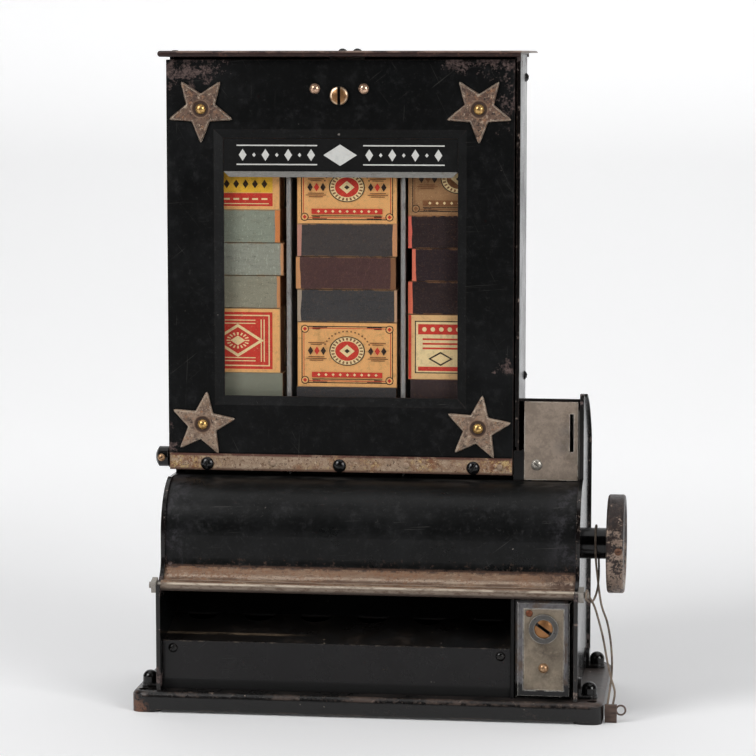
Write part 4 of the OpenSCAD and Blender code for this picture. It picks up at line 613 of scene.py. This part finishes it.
STAR_Y = -9.7
STARS = [(x, STAR_Y, z) for x in (-99.1, 58.1) for z in (335.4, 156.7)]


def star_spots(m, radius, soft):
    return m.any_spot([(c, radius) for c in STARS], soft)


def star_material():
    """Cast iron, paler on the lower pair, with pale edges as a painted highlight and painted shade in the
    seat round each pin.
    """
    m = Mat("star_iron", rgb(116, 94, 79), 0.4, 0.4, bevel=1.2)
    low = m.fall(m.z, 240, 250)
    m.layer([low, 0.75], rgb(166, 144, 124), 0.4, 0.4)
    brown = m.mul(m.blots(0.46, 0.57, 0.22, 9, 0.82, 3), m.inv(m.mul(low, 0.35)))
    m.layer(brown, rgb(72, 54, 45), 0.55, 0.2, -0.05)
    red = m.mul(star_spots(m, 12.0, 0.9), m.blots(0.44, 0.56, 0.2, 8, 0.8, 66))
    m.layer([red, m.sub(0.9, m.mul(low, 0.4))], rgb(94, 58, 44), 0.6, 0.1)
    m.layer(m.blots(0.54, 0.6, 0.42, 8, 0.82, 43), rgb(150, 108, 78), 0.6, 0.1)
    m.layer(m.blots(0.56, 0.62, 0.5, 7, 0.8, 95), rgb(192, 172, 150), 0.38, 0.5)
    m.layer(m.blots(0.56, 0.61, 0.6, 7, 0.8, 15), rgb(40, 28, 23), 0.7, 0.1, -0.06)
    # painted highlight: pale colour along the edges
    m.layer([m.edges(1.2), m.blots(0.4, 0.52, 0.15, 7, 0.75, 6)], rgb(214, 198, 178), 0.38, 0.4)
    m.layer([star_spots(m, 5.6, 0.12), 0.75], rgb(124, 90, 66), 0.5, 0.3)
    # painted shade in the recessed seat round each pin, darkest close to the pin
    m.layer(star_spots(m, 4.9, 0.12), rgb(70, 48, 37), 0.6, 0.2)
    m.layer(star_spots(m, 3.7, 0.16), rgb(30, 21, 17), 0.7, 0.0)
    m.grain(0.35, 0.5, 8, 0.8, 9)
    return m.done()


def nickel_material(name, slot_x=None, tone=(152, 137, 123), marks=()):
    """Dulled nickel plate with fine grain; marks are (centre, radius) of dark stains."""
    base = rgb(*tone)
    m = Mat(name, base, 0.36, 0.4)
    m.color = m.mix(m.blots(0.4, 0.6, 0.1, 9, 0.76, 3), shade(base, 1.14), shade(base, 0.8))
    m.rough = m.add(m.mul(m.noise(0.15, 5, 0.6, 9), 0.3), 0.24)
    m.layer([m.blots(0.5, 0.6, 0.5, 9, 0.84, 14), 0.55], shade(base, 0.68), 0.5, 0.3)
    m.layer([m.blots(0.56, 0.63, 0.6, 8, 0.84, 64), 0.55], shade(base, 1.45), 0.3, 0.5)
    m.layer([m.blots(0.62, 0.68, 1.2, 6, 0.72, 25), 0.6], rgb(84, 68, 56), 0.6, 0.2, -0.02)
    rim = m.edges(1.2, 0.01, 0.2)
    m.layer([rim, m.blots(0.46, 0.62, 0.2, 6, 0.7, 5)], rgb(74, 58, 48), 0.6, 0.2)
    # painted highlight: a pale line along the rim
    m.layer([rim, m.blots(0.38, 0.54, 0.16, 6, 0.7, 85)], rgb(220, 211, 198), 0.34, 0.4)
    if slot_x is not None:
        blue = m.any_spot([((slot_x - 5, -8, 147), 6), ((slot_x - 3, -8, 156), 5)], 0.9, m.shaken(0.1, 6))
        m.layer([blue, 0.55], rgb(74, 76, 78), 0.4, 0.4)
        stain = m.mul(m.band(m.x, slot_x - 5, slot_x + 3, 2.5), m.band(m.z, 138, 170, 7))
        m.layer([stain, m.blots(0.4, 0.62, 0.25, 8, 0.76, 2), 0.6], rgb(94, 80, 68), 0.5, 0.2)
    if marks:
        dark = m.any_spot(marks, 0.8, m.shaken(0.15, 8))
        m.layer([dark, m.blots(0.34, 0.56, 0.4, 8, 0.78, 7), 0.85], rgb(66, 56, 46), 0.5, 0.2)
    # painted shade: near-black in slots and corners
    m.layer([m.hollow_shade(1.2), 0.9], rgb(18, 14, 12), 0.7, 0.0)
    m.grain(0.03, 1.0, 6, 0.75, 6)
    return m.done()


def knob_material():
    """Nickel left on the lower part, bare brown-black iron above."""
    m = Mat("knob_worn_nickel", rgb(36, 25, 22), 0.36, 0.3, bevel=0.8)
    m.layer(m.blots(0.48, 0.62, 0.5, 8, 0.78, 40, (1, 1, 0.25)), rgb(70, 54, 48), 0.42, 0.3)
    left = m.add(m.noise(0.11, 10, 0.78, 3), m.mul(m.sub(92.0, m.z), 0.004))
    m.layer(m.ramp(left, 0.505, 0.53), m.mix(m.noise(0.6, 7, 0.78, 8), rgb(112, 93, 82), rgb(172, 151, 134)),
            0.36, 0.5, 0.05)
    m.layer(m.blots(0.53, 0.57, 0.5, 9, 0.82, 29), rgb(26, 18, 16), 0.6, 0.1, -0.05)
    m.layer([m.edges(1.6, 0.02, 0.2), m.blots(0.42, 0.54, 0.15, 8, 0.76, 7)], rgb(196, 178, 160), 0.34, 0.6)
    m.grain(0.08, 0.6, 7, 0.75, 5)
    return m.done()


paint("base_plate", base_material())
paint("lid", lid_material())
paint("delivery_lip", lip_material())
paint("door_rail", rail_material())
paint("door_stars", star_material())
paint("coin_plate", nickel_material("coin_nickel", 110.8))
paint("cash_plate", nickel_material("cash_nickel", tone=(132, 120, 104), marks=[
    ((x, CASH_Y, z), r) for x, z, r in ((86, 44, 6), (111, 24, 6), (CASH_LOCK_X, 40, 7), (104, 37, 7),
                                        (CASH_LOCK_X, 27, 5), (90, 16, 5))]))
paint("knob", knob_material())
bright = steel("dull_steel", rgb(164, 158, 150), rgb(108, 90, 76), 0.38, 0.6, 0.35)
paint("tie_rod coin_chute hinge_rod pawl_spring drum_shaft drive_shaft ratchet_wheel ratchet_pawl "
      "lock_keeper glass_clips", bright)
paint("coin_plate_screw", steel("bright_screw", rgb(172, 166, 156), rgb(110, 96, 84), 0.26, 0.6, 0.2))
paint("knob_screw", brass("knob_screw_rust", rgb(98, 66, 48), 0.45, 0.4))
paint("column_dividers",
      steel("divider_zinc", rgb(176, 175, 172), rgb(120, 116, 112), 0.45, 0.4, 0.3, (1, 1, 0.2)))
paint("cash_drawer", steel("drawer_steel", rgb(126, 112, 100), rgb(80, 64, 54), 0.36, 0.5, 0.4, (1, 1, 0.3)))


def cash_front_material():
    """Grey steel frame, near-black toward its foot and, as painted shade, toward its right side; bright edges
    of rubbed steel with a painted highlight.
    """
    m = Mat("cash_front_steel", rgb(104, 102, 104), 0.3, 0.5)
    m.layer(m.blots(0.46, 0.6, 0.8, 7, 0.78, 3, (1, 1, 0.4)), rgb(80, 77, 77), 0.38, 0.4)
    m.layer(m.blots(0.5, 0.62, 0.08, 8, 0.75, 13), rgb(84, 70, 60), 0.45, 0.3)
    # painted shade: near-black toward the right side, and darker toward the foot
    black = m.top(m.fall(m.z, 15, 26), m.ramp(m.x, 111.2, 113.2))
    m.layer(m.ramp(m.add(black, m.mul(m.sub(m.noise(0.2, 8, 0.76, 4), 0.5), 0.9)), 0.35, 0.6),
            rgb(14, 13, 13), 0.26, 0.2)
    # bright edges: rubbed steel with a painted highlight
    m.layer([m.edges(0.9), m.blots(0.4, 0.54, 0.15, 7, 0.74, 8)], rgb(206, 202, 194), 0.3, 0.6)
    # painted shade in slots and corners
    m.layer([m.hollow_shade(), 0.9], rgb(14, 12, 11), 0.7, 0.1)
    m.grain(0.02, 1.0, 6, 0.7, 6)
    return m.done()


paint("cash_front", cash_front_material())
# the ring's pale edge colour is a painted highlight
paint("cash_lock_ring",
      steel("ring_steel", rgb(92, 90, 88), rgb(72, 64, 56), 0.28, 0.6, 0.35, edge=rgb(196, 190, 180)))


def rivet_material():
    """Gilt pins in the stars, copper rivets beside the lock."""
    m = Mat("door_pins", rgb(214, 178, 152), 0.2, 0.75, bevel=0.25)
    m.layer(star_spots(m, 6.0, 0.1), rgb(206, 166, 102), 0.24, 0.75)
    m.layer([m.blots(0.44, 0.7, 0.5, 6, 0.65, 4), 0.75], rgb(124, 88, 58), 0.4)
    m.layer([m.blots(0.6, 0.7, 1.8, 5, 0.7, 14), 0.5], rgb(62, 42, 30), 0.6, 0.3)
    m.grain(0.012, 1.8, 4, 0.6, 8)
    return m.done()


paint("door_rivets", rivet_material())


def round_face(node, x, z):
    """Centre and radius of a round node's front face."""
    lo, hi = box_mm(node)
    return (x, lo[1], z), (hi[0] - lo[0]) / 2


paint("lock_barrel door_lock_plug", brass("lock_brass", rgb(164, 120, 78), 0.28, 0.7, rgb(104, 68, 42),
                                          round_face("lock_barrel", LOCK_X, LOCK_Z), 90))
for node in ("hinge_set_screw", "cash_pull"):
    paint(node, brass("pull_" + node, rgb(178, 142, 108), 0.28, 0.7, rgb(112, 80, 56)))
paint("cash_lock_plug", brass("lock_copper", rgb(156, 110, 68), 0.3, 0.65, rgb(94, 62, 40),
                              round_face("cash_lock_plug", CASH_LOCK_X, CASH_LOCK_Z), -35))
paint("drum_gear drive_pinion", brass("gear_brass", rgb(150, 124, 80), 0.38))
iron = black_iron("black_iron", rgb(12, 11, 11), 0.14, 0.35)
paint("body_screws corner_lugs hinge_bearings", iron)
paint("knob_hub bearing_bushes rail_screws", black_iron("gloss_black", rgb(12, 12, 13), 0.16, 0.2))


def wood_material(name, color, dark, rough):
    m = Mat(name, color, rough)
    grain = m.noise(0.6, 6, 0.65, 4, (0.15, 1, 1.4))
    m.layer(m.ramp(grain, 0.4, 0.7), dark, rough + 0.08)
    m.layer([m.edges(0.8), 0.6], shade(color, 1.9), rough)
    m.bump(grain, 0.08)
    return m.done()


paint("vend_drum", wood_material("drum_wood", rgb(22, 20, 19), rgb(14, 13, 12), 0.5))
paint("tag", wood_material("tag_wood", rgb(84, 66, 57), rgb(46, 34, 29), 0.7))


def glass_material():
    """Clear pane: a mirror as strong as the glass reflects, and a trace of dust."""
    m = Mat("old_glass", rgb(225, 230, 228), 0.04, 1.0, bevel=0)
    fresnel = m.new("Fresnel")
    fresnel.inputs["IOR"].default_value = 1.45
    dust = m.mul(m.blots(0.5, 0.85, 0.05, 6, 0.7, 3), 0.006)
    m.put(m.b.inputs["Alpha"], m.add(m.mul(fresnel.outputs[0], 0.35), dust))
    return m.done()


paint("door_glass", glass_material())
paint("sign_plate", japan("sign_black", (), 0.3, 0.4, 0.5, rgb(18, 18, 18)))
paint("sign_bar", steel("sign_strip", rgb(152, 150, 145), rgb(110, 104, 96), 0.42, 0.4, 0.3, (0.2, 1, 1)))

# Matchboxes: one shader for each stack, coloured by height and by the way a face points. A flat box shows
# its striking face, and a strip of its card (width, colour) at the left and the right end.
BOX_L, BOX_T, BOX_W = 57.0, 18.6, 37.0
# Heights (mm) over which the painted shadow at the stacks' foot fades out
STACK_SHADED, STACK_LIT = 134, 152
SEAM = rgb(16, 12, 10)
STACKS = {
    "left_matchboxes": dict(
        edge=185.5, x=-83.2, shift=-1.2, low=rgb(138, 140, 124), card=rgb(196, 158, 116),
        flats=[((154, 151, 132), (2.0, (214, 150, 104)), (1.8, (214, 148, 98))),
               ((160, 162, 148), (2.0, (190, 150, 116)), (1.8, (220, 158, 112))),
               ((151, 157, 141), (2.0, (176, 150, 120)), (2.7, (226, 140, 82)))]),
    "middle_matchboxes": dict(
        edge=178.0, x=-18.0, shift=0.5, low=rgb(70, 68, 69), card=rgb(206, 156, 106),
        flats=[((70, 69, 70), (2.2, (184, 166, 146)), (1.8, (206, 166, 132))),
               ((88, 62, 60), (2.3, (222, 160, 110)), (2.9, (146, 102, 70))),
               ((74, 69, 68), (2.4, (206, 150, 132)), (2.6, (220, 158, 112)))]),
    "right_matchboxes": dict(
        edge=183.0, x=47.2, shift=-1.4, low=rgb(64, 50, 50), card=rgb(198, 142, 96),
        flats=[((50, 38, 39), (2.6, (236, 120, 92)), (2.0, (206, 110, 80))),
               ((49, 37, 40), (2.2, (240, 128, 102)), (2.0, (206, 110, 80))),
               ((50, 38, 39), (2.0, (240, 116, 98)), (2.0, (206, 110, 80)))]),
}


def card_material(name, edge, x, shift, low, flats, card):
    """One stack's card: striking faces, end strips, seams, wear, and a painted shadow toward the stack's
    foot.
    """
    m = Mat(name, card, 0.8, spec=0.25, bevel=0.3)
    front = m.facing(1)
    ends = [rgb(*flats[0][2][1]), rgb(*flats[1][2][1])]
    m.layer(m.facing(0), m.mix(m.blots(0.4, 0.6, 0.05, 4, 0.6, 3), *ends), 0.75)
    m.layer([front, m.fall(m.z, edge - 0.15, edge - 0.1)], low, 0.88)
    for k, (face, left, right) in enumerate(flats):
        color = rgb(*face)
        z0 = edge + BOX_W + k * BOX_T
        middle = x + shift * (1 if k % 2 == 0 else -0.6)
        here = m.mul(front, m.band(m.z, z0, z0 + BOX_T - 0.1, 0.05))
        m.layer(here, color, 0.88)
        m.layer([here, m.blots(0.46, 0.7, 0.2, 6, 0.7, 11 * k + 3, (0.35, 1, 1.5)), 0.5], shade(color, 0.66))
        m.layer([here, m.blots(0.55, 0.66, 1.1, 6, 0.72, 11 * k + 33, (1, 1, 0.35)), 0.7], shade(color, 1.7))
        m.layer([here, m.blots(0.56, 0.64, 0.9, 7, 0.8, 11 * k + 73, (0.3, 1, 1)), 0.7], shade(color, 0.45))
        wave = m.mul(m.sub(m.noise(0.06, 3, 0.5, 7 * k), 0.5), 2.2)
        for side, (width, tint) in ((-1, left), (1, right)):
            along = m.mul(m.sub(m.add(m.x, wave), middle), side)
            end = BOX_L / 2 - width
            m.layer([here, m.ramp(along, end - 0.15, end + 0.15)], rgb(*tint), 0.8)
        rim = m.mul(here, m.inv(m.band(m.z, z0 + 0.55, z0 + BOX_T - 0.75, 0.2)))
        m.layer([rim, m.blots(0.42, 0.6, 0.2, 6, 0.7, k + 2), 0.65], shade(card, 0.7))
        m.layer([front, m.band(m.z, z0 - 0.28, z0 + 0.16, 0.08)], SEAM, 0.9)
    top = edge + 2 * BOX_W + 3 * BOX_T
    for seam in [edge - k * BOX_T for k in range(1, 4)] + [top + k * BOX_T for k in range(4)]:
        m.layer([m.inv(m.facing(2)), m.band(m.z, seam - 0.24, seam + 0.16, 0.08)], SEAM, 0.9)
        m.layer([front, m.band(m.z, seam + 0.2, seam + 0.9, 0.15), m.blots(0.44, 0.6, 0.2, 6, 0.7, 14), 0.6],
                shade(card, 0.7))
    m.layer([m.blots(0.52, 0.75, 0.9, 6, 0.7, 5), 0.3], shade(card, 0.5))
    m.layer([m.blots(0.58, 0.7, 3.0, 3, 0.6, 9), front, 0.2], rgb(160, 152, 140))
    # painted shadow: near-black at the stack's foot, fading out toward the upper height
    m.layer([m.fall(m.z, STACK_SHADED, STACK_LIT), 0.96], rgb(16, 15, 14), 0.9)
    m.grain(0.03, 1.5, 5, 0.7, 2)
    return m.done()


for node, spec in STACKS.items():
    paint(node, card_material(node + "_card", **spec))

# Printed labels, plain panels, rules, lozenges and discs of the builder's own layout
LABEL_Y, LABEL_HALF, PRINT_STEP = 1.44, 28.2, 0.008


def print_material(name, color, fade=0.75):
    m = Mat(name, color, 0.72, spec=0.3, bevel=0)
    m.layer([m.blots(0.48, 0.72, 0.3, 8, 0.72, 3), fade], shade(color, 0.62))
    m.layer([m.blots(0.58, 0.68, 1.4, 6, 0.74, 21), fade], rgb(222, 186, 138))
    m.layer([m.blots(0.54, 0.74, 0.06, 7, 0.7, 11), fade * 0.8], shade(color, 0.5))
    m.grain(0.02, 1.2, 5, 0.7, 2)
    return m.done()


INK = {key: print_material("label_" + key, rgb(*screen)) for key, screen in {
    "tan": (252, 190, 122), "cream": (255, 228, 172), "red": (220, 64, 50), "yellow": (255, 200, 66),
    "dark": (56, 40, 32), "brown": (140, 92, 58), "faded": (172, 130, 90), "buff": (240, 196, 138)}.items()}


class Print:
    """Flat printed shapes on a plane facing the front, each a little above the one before."""

    def __init__(self, name, body, y, slot, inks=None):
        self.name, self.body, self.y, self.slot = name, body, y, slot
        self.verts, self.faces, self.index, self.mats = [], [], [], []
        self.inks = inks or INK

    def poly(self, ink, points):
        self.y -= PRINT_STEP
        n = len(self.verts)
        self.verts += [(x, self.y, z) for x, z in points]
        self.faces.append(tuple(range(n, n + len(points))))
        if self.inks[ink] not in self.mats:
            self.mats.append(self.inks[ink])
        self.index.append(self.mats.index(self.inks[ink]))
        return self

    def rect(self, ink, x0, x1, z0, z1):
        return self.poly(ink, [(x0, z0), (x1, z0), (x1, z1), (x0, z1)])

    def border(self, ink, x0, x1, z0, z1, t):
        self.rect(ink, x0, x1, z0, z0 + t).rect(ink, x0, x1, z1 - t, z1)
        return self.rect(ink, x0, x0 + t, z0, z1).rect(ink, x1 - t, x1, z0, z1)

    def lozenge(self, ink, x, z, w, h):
        return self.poly(ink, [(x - w, z), (x, z - h), (x + w, z), (x, z + h)])

    def disc(self, ink, x, z, r, n=28, squash=1.0):
        turns = [2 * pi * k / n for k in range(n)]
        return self.poly(ink, [(x + r * cos(a), z + squash * r * sin(a)) for a in turns])

    def fan(self, ink, x, z, r0, r1, count, squash):
        """Narrow rays round a point."""
        for k in range(count):
            a, w = 2 * pi * k / count, 0.45 * pi / count
            self.poly(ink, [(x + r * cos(a + d), z + squash * r * sin(a + d))
                            for r, d in ((r0, -w), (r1, -w), (r1, w), (r0, w))])
            self.y += PRINT_STEP
        self.y -= PRINT_STEP
        return self

    def make(self):
        o = mesh_object(self.name, self.verts, self.faces, self.mats, self.index)
        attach(o, self.body)


def red_label(p, x0, x1, z0, z1):
    xm, zm = (x0 + x1) / 2, (z0 + z1) / 2
    p.rect("tan", x0, x1, z0, z1).rect("red", x0 + 1.6, x1 - 4.2, z0 + 1.8, z1 - 1.8)
    p.border("cream", x0 + 3.2, x1 - 5.8, z0 + 3.4, z1 - 3.4, 0.7)
    p.lozenge("cream", xm + 4, zm, 15, 9.5).lozenge("red", xm + 4, zm, 12.2, 7.6)
    p.fan("cream", xm + 4, zm, 4.4, 6.6, 16, 0.7).lozenge("cream", xm + 4, zm, 4.4, 2.8)
    for dx in (-3.4, -1.7):
        p.rect("cream", x1 - 7.6 + dx, x1 - 7.0 + dx, z0 + 6, z1 - 6)
    for dz in (6.2, 8.0):
        p.rect("cream", x0 + 6, x1 - 14, z0 + dz, z0 + dz + 0.55)
        p.rect("cream", x0 + 6, x1 - 14, z1 - dz - 0.55, z1 - dz)


def tan_label(p, x0, x1, z0, z1, ground="tan", accent="red"):
    xm, zm = (x0 + x1) / 2, (z0 + z1) / 2
    zc = zm + 2.2
    p.rect(ground, x0, x1, z0, z1)
    p.border("dark", x0 + 2.0, x1 - 2.0, z0 + 1.8, z1 - 1.8, 0.55)
    p.border(accent, x0 + 3.2, x1 - 3.2, z0 + 2.9, z1 - 2.9, 0.4)
    for sx in (-1, 1):
        for sz in (-1, 1):
            cx, cz = xm + sx * 24.2, zm + sz * 14.6
            p.disc("dark", cx, cz, 2.3, 16).disc(ground, cx, cz, 1.8, 16).lozenge(accent, cx, cz, 1.2, 1.2)
            p.rect("dark", cx - sx * 8.6 - 4.2, cx - sx * 8.6 + 4.2, cz + sz * 1.0 - 0.2, cz + sz * 1.0 + 0.2)
            p.rect("dark", cx - sx * 6.6 - 2.2, cx - sx * 6.6 + 2.2, cz - 0.2, cz + 0.2)
    for k in range(15):
        a = radians(20 + 10 * k)
        p.disc("brown", xm + 13.4 * cos(a), zm + 2.0 + 11.4 * sin(a), 0.5, 8)
    p.disc("dark", xm, zc, 10.2, squash=0.82).disc("cream", xm, zc, 9.6, squash=0.82)
    p.fan("brown", xm, zc, 7.4, 9.2, 24, 0.82)
    p.disc(accent, xm, zc, 6.8, squash=0.82)
    p.lozenge("cream", xm, zc, 4.4, 3.6).lozenge("dark", xm, zc, 1.6, 1.3)
    for s in (-1, 1):
        for k in range(3):
            p.lozenge("dark" if k != 1 else accent, xm + s * (13.6 + 3.7 * k), zc, 1.5, 2.4)
        for dz, half in ((6.6, 4.6), (5.6, 3.2), (-1.4, 4.6), (-2.4, 5.8), (-3.4, 4.0)):
            p.rect("brown", xm + s * 17.6 - half, xm + s * 17.6 + half, zm + dz, zm + dz + 0.42)
    p.rect(accent, x0 + 8, x1 - 8, z0 + 5.2, z0 + 8.2).rect("dark", x0 + 8, x1 - 8, z0 + 4.0, z0 + 4.4)
    for k in range(9):
        p.lozenge("cream", x0 + 12 + k * 4.1, z0 + 6.7, 0.9, 0.9)


def yellow_label(p, x0, x1, z0, z1):
    split = z0 + 9.6
    p.rect("tan", x0, x1, z0, z1).rect("yellow", x0 + 1.2, x1 - 3.8, split, z1 - 1.0)
    p.rect("red", x0 + 1.2, x1 - 3.8, z0 + 1.8, split - 0.4)
    for k in range(7):
        p.lozenge("dark", x1 - 8.5 - 5.4 * k, split + 4.8, 1.7, 2.5)
        p.rect("cream", x1 - 10.2 - 5.4 * k, x1 - 6.8 - 5.4 * k, split - 4.2, split - 3.2)
    p.rect("cream", x0 + 4, x1 - 6, z0 + 3.0, z0 + 3.5)


def banded_label(p, x0, x1, z0, z1):
    zm = (z0 + z1) / 2
    p.rect("buff", x0, x1, z0, z1).rect("red", x0, x0 + 1.6, z0, z1)
    p.rect("dark", x0 + 3.6, x1 - 3.6, z0 + 3.2, z1 - 3.2)
    p.rect("cream", x0 + 4.2, x1 - 4.2, z0 + 3.8, z1 - 3.8)
    p.rect("red", x0 + 5.4, x1 - 5.4, zm + 7.2, zm + 13.0)
    for k in range(9):
        p.disc("cream", x0 + 9.0 + k * 4.8, zm + 10.1, 1.3, 14)
    for dz in (4.0, 1.4, -1.2):
        p.rect("red", x0 + 8, x1 - 8, zm + dz, zm + dz + 1.0)
    xd, zd = (x0 + x1) / 2 - 10, zm - 6.6
    p.lozenge("dark", xd, zd, 7, 4).lozenge("cream", xd, zd, 5.4, 3)
    p.rect("red", x0 + 5.4, x1 - 5.4, z0 + 4.6, z0 + 7.0)


# Each column shows two boxes on edge, the lower and the upper: its slot, then how each one's label is drawn
LABELS = {"left": ("card_green", [red_label], [yellow_label]),
          "middle": ("card_tan", [tan_label], [tan_label]),
          "right": ("card_brown", [banded_label], [tan_label, "faded", "brown"])}
for column, (slot, *labels) in LABELS.items():
    stack = STACKS[column + "_matchboxes"]
    x = stack["x"] + stack["shift"]
    for level, (draw, *inks) in enumerate(labels):
        z0 = stack["edge"] + level * (BOX_W + 3 * BOX_T)
        p = Print("label_%s_%s" % (column, ("low", "high")[level]), "machine", LABEL_Y, slot)
        draw(p, x - LABEL_HALF, x + LABEL_HALF, z0 + 0.3, z0 + BOX_W - 0.5, *inks)
        p.make()

# Sign: a plain band of ornament in off-white
sign_lo, sign_hi = box_mm("sign_plate")
SIGN_INK = {"white": print_material("sign_white", rgb(204, 204, 200), 0.4)}
sign = Print("sign_ornament", "door", sign_lo[1] - 0.02, "sign_black", SIGN_INK)
sx, sz = (sign_lo[0] + sign_hi[0]) / 2, (sign_lo[2] + sign_hi[2]) / 2
for s in (-1, 1):
    sign.rect("white", sx + s * 36 - 23, sx + s * 36 + 23, sz + 5.0, sz + 5.7)
    sign.rect("white", sx + s * 36 - 23, sx + s * 36 + 23, sz - 5.7, sz - 5.0)
    for k in range(7):
        big = k % 2 == 0
        sign.lozenge("white", sx + s * (16.5 + 6.5 * k), sz, 2.2 if big else 1.0, 3.4 if big else 1.2)
sign.lozenge("white", sx, sz, 9.5, 6.0)
sign.make()

# Small fixings seen in the photograph
LID_TOP, BOSS_X, BOSS_Z = 367.55, (-58.6, 17.6, 70.6), 135.2


def dome(name, center, radius, height, material, body, axis=(0, -1, 0)):
    """A low domed head standing on the point, facing along axis."""
    rings, sides = 5, 20
    way = Vector(axis)
    u = way.orthogonal().normalized()
    v = way.cross(u)
    verts = []
    for i in range(rings):
        a = pi / 2 * i / rings
        verts += [p + way * height * sin(a) for p in ring(Vector(center), radius * cos(a), u, v, sides)]
    verts.append(Vector(center) + way * height)
    faces = ring_faces(rings, sides)
    tip = len(verts) - 1
    faces += [((rings - 1) * sides + k, (rings - 1) * sides + (k + 1) % sides, tip) for k in range(sides)]
    o = mesh_object(name, verts, faces, [material], smooth=True)
    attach(o, body)


plate_lo, plate_hi = box_mm("cash_plate")
dome("cash_plate_pin", (plate_lo[0] + 3.0, plate_lo[1], plate_hi[2] - 2.6), 2.0, 0.9,
     brass("pin_brown", rgb(120, 72, 52), 0.4), "cash_drawer")
lid_lo, _ = box_mm("lid")
dome("lid_nail", (lid_lo[0] + 7.7, 0, LID_TOP), 2.4, 0.9, iron, "machine", (0, 0, 1))

rail_lo, _ = box_mm("door_rail")
for i, x in enumerate(BOSS_X):
    boss = steel("boss_steel_%d" % i, rgb(176, 152, 130), rgb(124, 94, 70), 0.45, 0.3)
    dome("rail_boss_%d" % i, (x, rail_lo[1], BOSS_Z), 1.7, 0.5, boss, "door")


def studio():
    """Pale sweep, soft lights, and a sky that is brighter behind and to the right; the sweep glows as painted
    light, more high up and far back, and is painted darker toward the front as shade.
    """
    m = Mat("pale_sweep", rgb(240, 240, 241), 0.9, bevel=0)
    # painted shade: the floor darker toward the front
    m.layer(m.fall(m.y, -1300, -250), rgb(84, 84, 85))
    # painted light: the sweep glows, more high up and far back
    far_glow = m.top(m.ramp(m.z, 20, 420), m.mul(m.ramp(m.y, 100, 1100), 0.6))
    m.b.inputs["Emission Color"].default_value = (1, 1, 1, 1)
    m.put(m.b.inputs["Emission Strength"], m.add(m.mul(far_glow, 0.36), 0.04))
    radius, back, height, half, front = 1.2, 1.0, 2.6, 4.0, -2.6
    rows = [(front, 0.0), (back, 0.0)]
    rows += [(back + radius * sin(a), radius * (1 - cos(a)))
             for a in (pi / 2 * k / 16 for k in range(1, 17))]
    rows.append((back + radius, height))
    verts = [(x / MM, y / MM, z / MM) for y, z in rows for x in (-half, half)]
    faces = [(2 * i, 2 * i + 1, 2 * i + 3, 2 * i + 2) for i in range(len(rows) - 1)]
    mesh_object("sweep", verts, faces, [m.done()], smooth=True)
    lights = [("key", (-1.2, -1.2, 1.5), 0.9, 22), ("fill", (1.5, -1.3, 1.0), 0.9, 17),
              ("top", (0.1, 0.3, 2.4), 3.0, 30),
              ("strip_left", (-1.1, -0.8, 0.5), 0.1, 2), ("strip_right", (1.2, -0.8, 0.5), 0.1, 2)]
    strip_height = 0.8
    for name, place, size, power in lights:
        data = bpy.data.lights.new(name, "AREA")
        data.size, data.energy = size, power
        if name.startswith("strip"):
            data.shape, data.size_y = "RECTANGLE", strip_height
        o = bpy.data.objects.new(name, data)
        o.location = place
        o.rotation_euler = (Vector((0, 0, 0.18)) - Vector(place)).to_track_quat("-Z", "Y").to_euler()
        bpy.context.collection.objects.link(o)
    world = bpy.data.worlds.new("studio")
    world.use_nodes = True
    t = world.node_tree
    sky = t.nodes["Background"]
    way = t.nodes.new("ShaderNodeSeparateXYZ")
    t.links.new(t.nodes.new("ShaderNodeTexCoord").outputs["Generated"], way.inputs[0])
    both = t.nodes.new("ShaderNodeMath")
    for i, (axis, *levels) in enumerate((("Y", -0.8, 0.3, 0.14, 0.5), ("X", 0.2, 0.9, 0.0, 0.5))):
        n = t.nodes.new("ShaderNodeMapRange")
        t.links.new(way.outputs[axis], n.inputs["Value"])
        for key, value in zip(("From Min", "From Max", "To Min", "To Max"), levels):
            n.inputs[key].default_value = value
        t.links.new(n.outputs[0], both.inputs[i])
    t.links.new(both.outputs[0], sky.inputs["Strength"])
    bpy.context.scene.world = world


studio()
